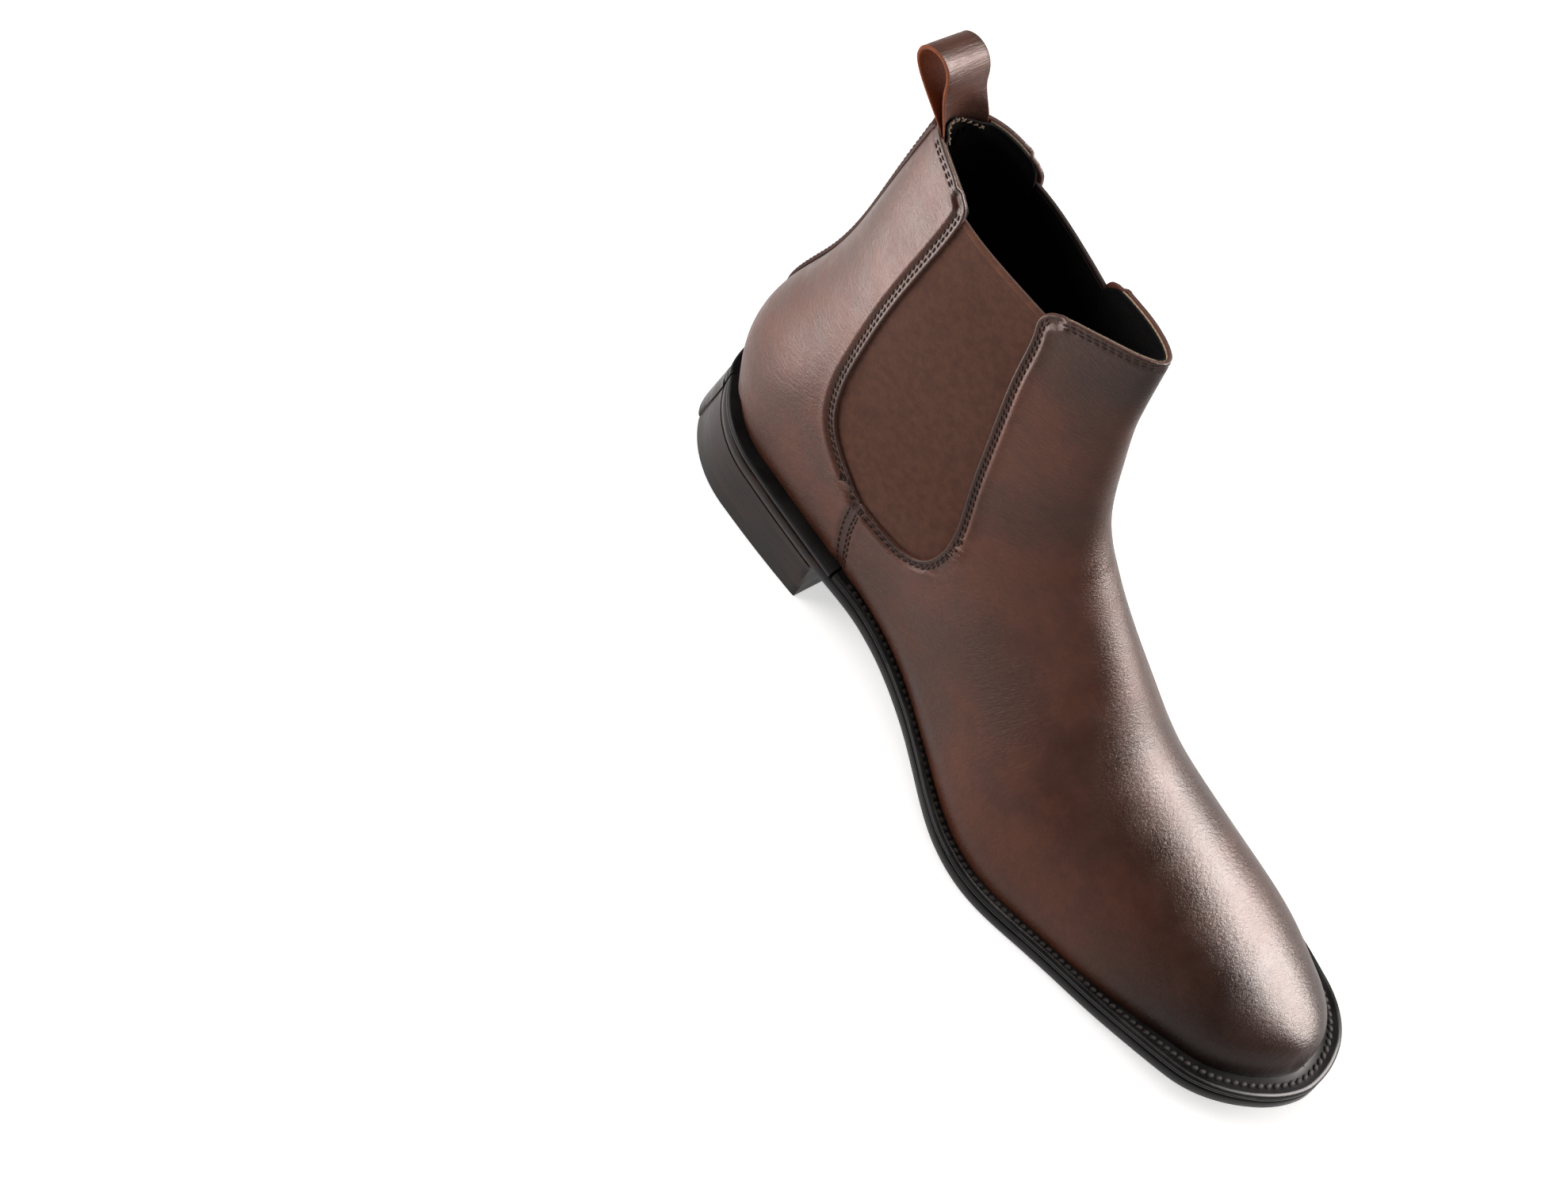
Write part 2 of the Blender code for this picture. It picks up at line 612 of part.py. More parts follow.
def loft(name, sections, look):
    """Closed strip from like sections with flat ends."""
    ring = len(sections[0])
    points = np.vstack(sections)
    faces = [tuple(range(ring)), tuple(range(len(points) - 1, len(points) - 1 - ring, -1))]
    for i in range(len(sections) - 1):
        for k in range(ring):
            a = i * ring + k
            b = i * ring + (k + 1) % ring
            faces.append((a, b, b + ring, a + ring))
    return place(name, mesh_from(points, faces), look)


def edge_strip(name, inner, outer, look, round_edge):
    """Welt or rand: a band between two plan lines, lying under the feather edge."""
    sections = []
    for (ix, iy), (ox, oy) in zip(inner, outer):
        inner_top = float(seat_z(ix)) - GAP
        outer_top = float(seat_z(ox)) - GAP
        soft = np.array((ox, oy)) + (np.array((ix, iy)) - np.array((ox, oy))) * round_edge
        middle = outer_top - WELT / 2
        sections.append([(ix, iy, inner_top), (soft[0], soft[1], outer_top - 0.1), (ox, oy, middle + 0.9),
                         (ox, oy, middle - 0.9), (soft[0], soft[1], outer_top - WELT + 0.1),
                         (ix, iy, inner_top - WELT)])
    return loft(name, sections, look)


def make_bottom():
    fore = feather_outline(WELT_START_X)
    edge_strip('welt', offset_line(fore, WELT_TUCK), offset_line(fore, -sole_margin(fore[:, :1])), EDGE, 0.22)
    rear = heel_outline(WELT_START_X - 1.0)
    edge_strip('heel_rand', offset_line(rear, WELT_TUCK), offset_line(rear, -HEEL_MARGIN), EDGE, 0.3)
    inside = whole_outline(lambda x: np.full_like(x, -INSOLE_INSET))
    plate('insole_board', inside, lambda x: seat_z(x) - GAP, INSOLE, BOARD)
    inner = whole_outline(lambda x: np.full_like(x, -CORK_INSET))
    cork = plate('cork_filler', inner, lambda x: seat_z(x) - 2 * GAP - INSOLE, CORK - GAP / 2, CORK_LOOK)
    boolean(cork, prism('shank_bed', shank_outline(GAP), 2, 0.0, 60.0), 'DIFFERENCE')
    shank = np.array(shank_outline(0.0))
    stations = np.linspace(shank[:, 0].min(), shank[:, 0].max(), 14)
    half = np.full(14, SHANK_WIDTH / 2)
    strips('shank', stations, -half, half, lambda x: seat_z(x) - 2 * GAP - INSOLE - 0.2, SHANK, STEEL)
    sole_line = whole_outline(sole_margin)
    plate('outsole', sole_line, lambda x: seat_z(x) - 2 * GAP - WELT, SOLE, EDGE)
    sock_line = whole_outline(lambda x: np.full_like(x, -SOCK_INSET))
    plate('sock_lining', sock_line, lambda x: seat_z(x) + SOCK, SOCK, BLACK_LINING)


def shank_outline(clear):
    half = SHANK_WIDTH / 2 + clear
    start, end = SHANK_START - clear, SHANK_END + clear
    return [(start, -half), (end, -half), (end, half), (start, half)]


# ---- heel ------------------------------------------------------------------------------------------------------
def heel_line(z, steps=11):
    """Plan outline of the heel at a height: a D with a straight breast, each point facing its mirror."""
    share = z / HEEL_HIGH
    back = HEEL_BACK_X + (HEEL_TOP_BACK_X - HEEL_BACK_X) * share
    breast = BREAST_X - BREAST_SLOPE * (1 - share)
    front = HEEL_HALF_WIDTH - BREAST_CORNER
    turn = np.linspace(math.pi / 2, math.pi, steps)
    arc = np.stack([back + HEEL_REACH + HEEL_REACH * np.cos(turn), HEEL_HALF_WIDTH * np.sin(turn)], 1)
    reach = breast - arc[0, 0]
    sides = [(x, front + BREAST_CORNER * (breast - x) / reach) for x in HEEL_SIDE_X]
    half = np.vstack([[(breast, front)], sides, arc])
    return np.vstack([half, half[-2::-1] * (1, -1)])


def heel_layer(name, low, top, look):
    """One lift between a flat underside and a top given by a height or by the sole above it."""
    lower = heel_line(low)
    upper = heel_line(low + HEEL_LEVELS[1])
    high = top(upper[:, 0]) if callable(top) else np.full(len(upper), top)
    count = len(lower)
    points = np.vstack([np.insert(lower, 2, low, axis=1), np.column_stack([upper, high])])
    faces = [tuple(range(count))] + [(i, (i + 1) % count, (i + 1) % count + count, i + count) for i in range(count)]
    back = count // 2
    faces += [(i, i + 1, count - 2 - i, count - 1 - i) for i in range(back - 1)]
    faces.append((back - 1, back, back + 1))
    faces[count + 1:] = [tuple(k + count for k in face) for face in faces[count + 1:]]
    return place(name, mesh_from(points, faces), look)


def make_heel():
    under_sole = SOLE + WELT + 3 * GAP
    heel_layer('heel_top_piece', 0.0, HEEL_LEVELS[1] - GAP, RUBBER)
    heel_layer('heel_lift_1', HEEL_LEVELS[1], HEEL_LEVELS[2] - GAP, EDGE)
    heel_layer('heel_lift_2', HEEL_LEVELS[2], HEEL_LEVELS[3] - GAP, EDGE)
    heel_layer('heel_lift_3', HEEL_LEVELS[3], lambda x: seat_z(x) - under_sole, EDGE)


make_upper()
make_gores()
make_tapes()
make_stiffeners()
make_back_strip()
make_pull_tab()
make_bottom()
make_heel()
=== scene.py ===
"""Looks of the chelsea boot: fine leather panels, elastic gores, stitching, welted sole and heel.

Lengths are millimetres in the last's own axes (x forward from behind the heel, y medial, z up);
in_metres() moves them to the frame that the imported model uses.
"""
import math

import bmesh
import bpy
import numpy as np
from mathutils import Matrix, Vector
from mathutils.kdtree import KDTree
from mathutils.geometry import delaunay_2d_cdt


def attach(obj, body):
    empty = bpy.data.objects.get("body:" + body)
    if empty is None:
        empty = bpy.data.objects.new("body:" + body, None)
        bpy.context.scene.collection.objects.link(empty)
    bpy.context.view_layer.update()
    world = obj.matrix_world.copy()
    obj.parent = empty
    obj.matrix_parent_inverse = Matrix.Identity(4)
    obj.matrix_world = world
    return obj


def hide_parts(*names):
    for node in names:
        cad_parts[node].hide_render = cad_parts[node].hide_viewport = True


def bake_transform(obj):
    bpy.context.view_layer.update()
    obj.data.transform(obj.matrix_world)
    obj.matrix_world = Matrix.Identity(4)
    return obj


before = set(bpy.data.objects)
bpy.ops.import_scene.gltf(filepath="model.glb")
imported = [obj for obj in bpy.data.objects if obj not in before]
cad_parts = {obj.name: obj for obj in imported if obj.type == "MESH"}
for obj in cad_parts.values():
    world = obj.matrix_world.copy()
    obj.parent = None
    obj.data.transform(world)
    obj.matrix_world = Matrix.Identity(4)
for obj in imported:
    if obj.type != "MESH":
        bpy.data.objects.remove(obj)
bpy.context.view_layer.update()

MM = 0.001
MIDDLE_X = 154.5
MIDDLE_Y = -2.41

# ---- the last
# ridge x, ridge z, outer x, outer z, length of the rounded crown along the section
SECTIONS = np.array([
    (300.0, 27.0, 300.0, 20.0, 20.0), (297.5, 33.0, 297.5, 19.7, 34.0),
    (291.0, 38.0, 291.0, 18.7, 47.0),
    (275.5, 43.0, 276.0, 16.2, 62.0), (252.5, 51.0, 252.0, 12.4, 85.0),
    (226.0, 59.0, 226.0, 9.8, 112.0),
    (201.0, 68.0, 196.0, 9.6, 130.0), (185.0, 80.0, 155.0, 14.2, 134.0),
    (171.5, 90.5, 105.0, 25.5, 132.0),
    (160.0, 99.0, 55.0, 32.0, 126.0), (150.5, 107.5, 10.0, 34.0, 121.0),
    (143.5, 117.0, 4.5, 52.0, 117.0),
    (139.0, 128.5, 6.5, 74.0, 115.0), (136.0, 140.5, 13.5, 98.0, 113.0),
    (133.5, 152.0, 18.0, 122.0, 111.0), (131.5, 163.0, 20.0, 147.0, 109.0),
    (130.3, 178.0, 21.8, 178.0, 107.0), (129.0, 202.0, 24.0, 214.0, 104.0)])
HEEL_SECTION = 10
LAST_SECTION = len(SECTIONS) - 1
HEEL_CORNER_X = 10.0
SKIRT = 3.0
WIDTH_X = (0, 30, 60, 90, 120, 150, 175, 195, 215, 240, 262, 280, 300)
LATERAL_WIDTH = (32.5, 32.5, 32, 30.5, 31.5, 40.5, 49.5, 52, 49, 43.5, 37, 31.5, 24)
MEDIAL_WIDTH = (31, 33, 32.5, 31, 32, 37, 43, 44.5, 45.5, 42.5, 37.5, 31, 27)
SHAFT_Z = (30, 60, 90, 120, 150, 175, 200)
SHAFT_WIDTH = (34, 34.5, 31.5, 29, 25.5, 20, 16.5)
SWING_X = (0, 100, 180, 240, 300)
SWING_Y = (0, 0, -1.5, 3, 5)
BACK_ROUND_Z = (20, 60, 110, 175)
BACK_ROUND = (33, 36, 44, 50)
TOE_X = 300.0
TOE_ROUND = 24.0
TOE_POWER = 2.3
HEEL_POWER = 2.1
TUCK = 1.8
TUCK_HEIGHT = 12.0
# spans of the last (start, length) over which its shape changes; a negative length runs backward
TOE_SPAN = (215, 75)
SHAFT_SPAN_Z = (40, 55)
SHAFT_SPAN_X = (230, -90)
SWING_SPAN = (150, 60)
LATERAL, MEDIAL = -1, 1

TAB_WIDTH = 18.0

# ---- thicknesses
GAP = 0.3
OUTER = 1.4
GORE_DEPTH = 1.9
GORE_THICK = 0.8
LINING_DEPTH = 3.2
LINING = 0.8
WELT = 3.2
SOLE = 5.3
SOCK = 1.0
WELT_MARGIN = 3.6
TOE_MARGIN = 7.2
WAIST_MARGIN = 2.6
HEEL_MARGIN = 4.4

# ---- outlines in side view (x, z)
SEAM = ((86.5, 24.0), (85.0, 35.0), (82.0, 47.5), (81.8, 62.5))
GORE_REAR = ((81.8, 62.5), (69.0, 71.5), (60.3, 80.5), (55.8, 92.0), (53.7, 110.0), (53.2, 137.0),
             (53.9, 157.0), (54.3, 178.0))
GORE_FRONT = ((81.8, 62.5), (92.0, 61.6), (103.2, 62.9), (109.8, 68.0), (112.9, 77.0), (112.6, 87.0),
              (108.3, 103.0), (103.8, 123.5), (99.7, 143.8), (96.5, 159.0), (93.4, 176.0))
QUARTER_CORNER = ((54.0, 182.4), (52.8, 185.4), (50.2, 187.2))
QUARTER_TOP = ((46.5, 188.3), (39.0, 189.4), (30.5, 189.0), (23.5, 187.6))
VAMP_CORNER = ((92.5, 180.4), (93.5, 183.6), (96.2, 186.6))
VAMP_TOP = ((100.2, 189.0), (106.5, 191.8), (111.3, 193.8), (120.5, 197.0), (129.0, 199.6))
GORE_TOP = ((46.0, 180.6), (74.0, 180.7), (102.0, 180.4))
GORE_LAP = 7.0


def natural(knots, values):
    """Natural cubic spline through values (numbers or rows) at the knots."""
    x = np.asarray(knots, float)
    y = np.asarray(values, float)
    count = len(x)
    step = np.diff(x)
    matrix = np.eye(count)
    right = np.zeros(y.shape)
    for i in range(1, count - 1):
        matrix[i, i - 1:i + 2] = step[i - 1], 2 * (step[i - 1] + step[i]), step[i]
        right[i] = 6 * ((y[i + 1] - y[i]) / step[i] - (y[i] - y[i - 1]) / step[i - 1])
    bend = np.linalg.solve(matrix, right)

    def value(at):
        at = np.clip(np.asarray(at, float), x[0], x[-1])
        i = np.clip(np.searchsorted(x, at) - 1, 0, count - 2)
        low, high, span = at - x[i], x[i + 1] - at, step[i]
        if y.ndim > 1:
            low, high, span = low[..., None], high[..., None], span[..., None]
        curved = bend[i] * high ** 3 / (6 * span) + bend[i + 1] * low ** 3 / (6 * span)
        start = y[i] / span - bend[i] * span / 6
        end = y[i + 1] / span - bend[i + 1] * span / 6
        return curved + (start * high + end * low)
    return value


def smooth(t):
    t = np.clip(t, 0, 1)
    return t * t * (3 - 2 * t)


def over(place, span):
    """Smooth step from 0 to 1 over a span, given as its start and length."""
    start, length = span
    return smooth((place - start) / length)


def bell(distance, width):
    return np.exp(-(distance / width) ** 2)


def unit(rows):
    """Vectors brought to length one."""
    return rows / np.maximum(np.linalg.norm(rows, axis=-1), 1e-9)[..., None]


def lengths_along(line):
    return np.r_[0, np.cumsum(np.linalg.norm(np.diff(line, axis=0), axis=1))]


def read_along(at, run, rows):
    """Rows of numbers known along a run, read at other places of it."""
    return np.stack([np.interp(at, run, column) for column in rows.T], 1)


def resample(line, pitch):
    """Points along a line, evenly spaced at about the pitch."""
    line = np.asarray(line, float)
    run = lengths_along(line)
    return read_along(np.linspace(0, run[-1], max(2, int(round(run[-1] / pitch)) + 1)), run, line)


def halving(low, high, is_beyond, rounds=30):
    """Search by halves between low and high; is_beyond tells where the answer lies above a guess."""
    for _ in range(rounds):
        guess = (low + high) / 2
        beyond = is_beyond(guess)
        low = np.where(beyond, guess, low)
        high = np.where(beyond, high, guess)
    return (low + high) / 2


def curve_through(points, pitch=1.0):
    points = np.asarray(points, float)
    run = lengths_along(points)
    dense = natural(run, points)(np.linspace(0, run[-1], 40 * len(points)))
    return resample(dense, pitch)


def offset_line(points, distance):
    """The line moved sideways, to its left for a positive distance."""
    tangent = unit(np.gradient(points, axis=0))
    return points + np.stack([-tangent[:, 1], tangent[:, 0]], 1) * distance


section_at = natural(np.arange(len(SECTIONS)), SECTIONS)
lateral_width = natural(WIDTH_X, LATERAL_WIDTH)
medial_width = natural(WIDTH_X, MEDIAL_WIDTH)
shaft_width = natural(SHAFT_Z, SHAFT_WIDTH)
swing_at = natural(SWING_X, SWING_Y)
back_round = natural(BACK_ROUND_Z, BACK_ROUND)
back_x = natural(SECTIONS[HEEL_SECTION:, 3], SECTIONS[HEEL_SECTION:, 2])
feather_z = natural(SECTIONS[HEEL_SECTION::-1, 2], SECTIONS[HEEL_SECTION::-1, 3])


def section(index):
    """Ridge point, outer point (carried below the feather edge) and crown length of a section."""
    row = np.array(section_at(index))
    round_heel = np.clip(HEEL_SECTION - np.asarray(index, float), 0, 1) ** 2
    heel_x = HEEL_CORNER_X + (SECTIONS[HEEL_SECTION - 1, 2] - HEEL_CORNER_X) * round_heel
    rear = index > HEEL_SECTION - 1
    row[..., 2] = np.where(rear, heel_x, row[..., 2])
    row[..., 3] = np.where(rear & (index <= HEEL_SECTION), feather_z(heel_x), row[..., 3])
    row[..., 3] -= SKIRT * smooth(HEEL_SECTION + 1 - index)
    row[..., 2] = np.where(index > HEEL_SECTION, back_x(row[..., 3]), row[..., 2])
    return row


def find_section(x, z):
    """Index of the fan section that passes through a side-view point."""
    def is_beyond(index):
        row = section(index)
        forward, down = row[..., 2] - row[..., 0], row[..., 3] - row[..., 1]
        return forward * (z - row[..., 1]) - down * (x - row[..., 0]) < 0
    return halving(np.zeros_like(x), np.full_like(x, float(LAST_SECTION)), is_beyond, 32)


def toe_front(x):
    """Share of the width that is left where the toe rounds off."""
    return (1 - np.clip((x - TOE_X + TOE_ROUND) / TOE_ROUND, 0, 1) ** TOE_POWER) ** (1 / HEEL_POWER)


def on_section(row, share):
    """Side-view point at a share of the way from a section's ridge to its outer edge."""
    x = row[..., 0] + (row[..., 2] - row[..., 0]) * share
    return x, row[..., 1] + (row[..., 3] - row[..., 1]) * share


def half_width(x, z, side, index=None):
    """Distance of the last's surface from its centre plane; side is -1 or 1, or an array of them."""
    x, z, side = np.broadcast_arrays(np.asarray(x, float), np.asarray(z, float), side)
    if index is None:
        index = find_section(x, z)
    row = section(index)
    dx, dz = x - row[..., 0], z - row[..., 1]
    along = dx * (row[..., 2] - row[..., 0]) + dz * (row[..., 3] - row[..., 1])
    down = np.where(along > 0, np.hypot(dx, dz), 0)
    toe = over(x, TOE_SPAN)
    crown = (1 - (1 - np.clip(down / row[..., 4], 0, 1)) ** (2 + 0.3 * toe)) ** (1 / (2 + 0.4 * toe))
    behind = np.clip((x - back_x(z)) / back_round(z), 0, 1)
    heel = (1 - (1 - behind) ** HEEL_POWER) ** (1 / HEEL_POWER)
    shaft = over(z, SHAFT_SPAN_Z) * over(x, SHAFT_SPAN_X)
    foot = np.where(side > 0, medial_width(x), lateral_width(x))
    width = (foot * (1 - shaft) + shaft_width(z) * shaft) * crown * heel * toe_front(x)
    above = np.clip(1 - (z - feather_z(x)) / TUCK_HEIGHT, 0, 1.2)
    tuck = TUCK * above ** 2 * (index < HEEL_SECTION)
    return width - np.minimum(tuck, width)


def centre_y(x):
    return swing_at(x) * over(x, SWING_SPAN)


def in_metres(points):
    return (np.asarray(points, float) - np.array((MIDDLE_X, MIDDLE_Y, 0.0))) * MM


# ---- a flat chart of the last: m runs from toe to top, n runs round it from the ridge
def share_of(index, part):
    """How far down a section the part (0 ridge to 1 outer edge) lies; parts are even on the surface."""
    to_heel = smooth(index - HEEL_SECTION + 1)
    return part ** 2 * (1 - to_heel) + (1 - np.cos(np.pi * part)) / 2 * to_heel


def part_of(index, share):
    return halving(np.zeros_like(share), np.ones_like(share), lambda part: share_of(index, part) < share)


def chart_tables():
    """Section index, length along the foot and girth, at even steps of the chart."""
    turn = np.linspace(0, 1, CHART_STEPS)
    stretched = turn * (LAST_SECTION + 0.5)
    index = np.clip(stretched ** 2 / (stretched + 0.5), 0, LAST_SECTION)
    row = section(index)
    ridge = np.hypot(*np.diff(row[:, :2], axis=0).T)
    outer = np.hypot(*np.diff(row[:, 2:4], axis=0).T)
    step = (ridge + outer) / 2 + np.abs(np.diff(toe_front(row[:, 0]))) * 20
    girth = []
    for i in range(0, CHART_STEPS, 10):
        x, z = on_section(row[i], share_of(index[i], np.linspace(0, 1, 40)))
        y = half_width(x, z, LATERAL, np.full_like(x, index[i]))
        girth.append(lengths_along(np.stack([x, y, z], 1))[-1])
    girth = np.interp(index, index[::10], girth)
    return index, np.r_[0, np.cumsum(step)], np.maximum(girth, 7.0)


CHART_STEPS = 500
CHART_INDEX, CHART_M, CHART_GIRTH = chart_tables()


def girth_at(m):
    return np.interp(m, CHART_M, CHART_GIRTH)


def to_chart(x, z, side):
    index = find_section(x, z)
    row = section(index)
    whole = np.hypot(row[:, 2] - row[:, 0], row[:, 3] - row[:, 1])
    share = np.clip(np.hypot(x - row[:, 0], z - row[:, 1]) / whole, 0, 1)
    part = part_of(index, share)
    m = np.interp(index, CHART_INDEX, CHART_M)
    return np.stack([m, side * part * girth_at(m)], 1)


def from_chart(chart):
    m, n = chart[:, 0], chart[:, 1]
    index = np.interp(m, CHART_M, CHART_INDEX)
    part = np.clip(np.abs(n) / girth_at(m), 0, 1)
    x, z = on_section(section(index), share_of(index, part))
    side = np.where(n < 0, LATERAL, MEDIAL)
    y = centre_y(x) + side * half_width(x, z, side, index)
    return np.stack([x, y, z], 1)


# ---- lines on the chart
def outer_border(first, last, side, pitch=1.3):
    """Chart line along the outer edge of the sections, from one section index to another."""
    ends = np.interp((first, last), CHART_INDEX, CHART_M)
    m = np.linspace(*ends, max(3, int(abs(ends[1] - ends[0]) / pitch)))
    return np.stack([m, side * girth_at(m)], 1)


def chart_line(points, side, pitch=1.2):
    line = curve_through(points, pitch)
    return to_chart(line[:, 0], line[:, 1], side)


def frame_at(chart, step=0.05):
    """Surface points with their two chart directions and outward normals."""
    at = np.array(chart, float)
    at[:, 0] = np.clip(at[:, 0], step, CHART_M[-1] - step)
    limit = girth_at(at[:, 0]) - step
    at[:, 1] = np.clip(at[:, 1], -limit, limit)
    along = (from_chart(at + (step, 0)) - from_chart(at - (step, 0))) / (2 * step)
    round_it = (from_chart(at + (0, step)) - from_chart(at - (0, step))) / (2 * step)
    normal = unit(np.cross(along, round_it))
    place = from_chart(at)
    normal[normal[:, 1] * (place[:, 1] - centre_y(place[:, 0])) < 0] *= -1
    return from_chart(chart), along, round_it, normal


def shifted(chart, distance):
    """The chart line moved to its left by a true distance on the surface."""
    tangent = np.gradient(chart, axis=0)
    _, along, round_it, _ = frame_at(chart)
    e, f, g = (along * along).sum(1), (along * round_it).sum(1), (round_it * round_it).sum(1)
    m, n = -tangent[:, 1], tangent[:, 0]
    area = np.maximum(e * g - f * f, 1e-6)
    m, n = (g * m - f * n) / area, (e * n - f * m) / area
    size = np.sqrt(np.maximum(e * m ** 2 + 2 * f * m * n + g * n ** 2, 1e-9))
    moved = chart + np.stack([m, n], 1) / size[:, None] * distance
    moved[:, 0] = np.clip(moved[:, 0], 0, CHART_M[-1])
    limit = girth_at(moved[:, 0])
    moved[:, 1] = np.clip(moved[:, 1], -limit, limit)
    return moved


def tree_of(points):
    tree = KDTree(len(points))
    for number, point in enumerate(points):
        tree.insert(point, number)
    tree.balance()
    return tree


def distance_from(points, tree):
    return np.array([tree.find(p)[2] for p in points])


def line_tree(lines, pitch):
    """Search tree of points on the surface along chart lines."""
    return tree_of(np.vstack([resample(from_chart(line), pitch) for line in lines]))


# ---- mesh helpers
def keep_value(mesh, name, values):
    """One number for every point of a mesh, for its material to read."""
    layer = mesh.attributes.new(name, 'FLOAT', 'POINT')
    layer.data.foreach_set('value', np.asarray(values, np.float32))


def new_object(name, points, faces, looks, edge=None, face_look=None):
    mesh = bpy.data.meshes.new(name)
    mesh.from_pydata(in_metres(points).tolist(), [], [[int(i) for i in f] for f in faces])
    for look in looks:
        mesh.materials.append(look)
    if face_look is not None:
        mesh.polygons.foreach_set('material_index', np.asarray(face_look, np.int32))
    if edge is not None:
        keep_value(mesh, 'edge', edge)
    mesh.shade_smooth()
    mesh.update()
    piece = bpy.data.objects.new(name, mesh)
    bpy.context.scene.collection.objects.link(piece)
    return piece


def vertex_normals(points, faces):
    a, b, c = (points[faces[:, k]] for k in range(3))
    across = np.cross(b - a, c - a)
    total = np.zeros_like(points)
    for k in range(3):
        np.add.at(total, faces[:, k], across)
    return unit(total)


def inside_outline(points, outline):
    inside = np.zeros(len(points), bool)
    for a, b in zip(outline, np.roll(outline, -1, axis=0)):
        if a[1] != b[1]:
            crosses = (a[1] > points[:, 1]) != (b[1] > points[:, 1])
            crossing = (b[0] - a[0]) * (points[:, 1] - a[1]) / (b[1] - a[1]) + a[0]
            inside ^= crosses & (points[:, 0] < crossing)
    return inside


def hex_grid(outline, spacing):
    low, high = outline.min(0), outline.max(0)
    rows = np.arange(low[1] + spacing / 2, high[1], spacing * 0.866)
    grid = []
    for number, n in enumerate(rows):
        m = np.arange(low[0] + spacing / 2 * (number % 2), high[0], spacing)
        grid.append(np.stack([m, np.full_like(m, n)], 1))
    grid = np.vstack(grid)
    return grid[inside_outline(grid, outline)]


def triangulate(outline, inner):
    """Delaunay triangles inside a closed outline, with all the inner points used."""
    count = len(outline)
    everything = [Vector(p) for p in np.vstack([outline, inner])]
    result = delaunay_2d_cdt(everything, [], [list(range(count))], 1, 1e-6)
    points = np.array([tuple(v) for v in result[0]])
    faces = np.array([tuple(f) for f in result[2] if len(f) == 3])
    border = np.zeros(count, int)
    for new, olds in enumerate(result[3]):
        for old in olds:
            if old < count:
                border[old] = new
    corner = points[faces]
    first, second = corner[:, 1] - corner[:, 0], corner[:, 2] - corner[:, 0]
    turned = first[:, 0] * second[:, 1] - first[:, 1] * second[:, 0]
    faces = faces[np.abs(turned) > 1e-7]
    turned = turned[np.abs(turned) > 1e-7]
    return points, np.where((turned < 0)[:, None], faces[:, ::-1], faces), border


def edge_rows(outline, surface_tree, rows):
    """Chart points in rows beside the outline, for a finely shaped rim."""
    made = []
    ahead = np.roll(outline, -1, axis=0)
    turning = np.sum(outline[:, 0] * ahead[:, 1] - ahead[:, 0] * outline[:, 1])
    side = 1.0 if turning > 0 else -1.0
    for distance in rows:
        line = shifted(np.vstack([outline[-1:], outline, outline[:1]]), side * distance)[1:-1]
        gap = distance_from(from_chart(line), surface_tree)
        line = line[(gap > distance * 0.9) & inside_outline(line, outline)]
        made.append(line)
    return made


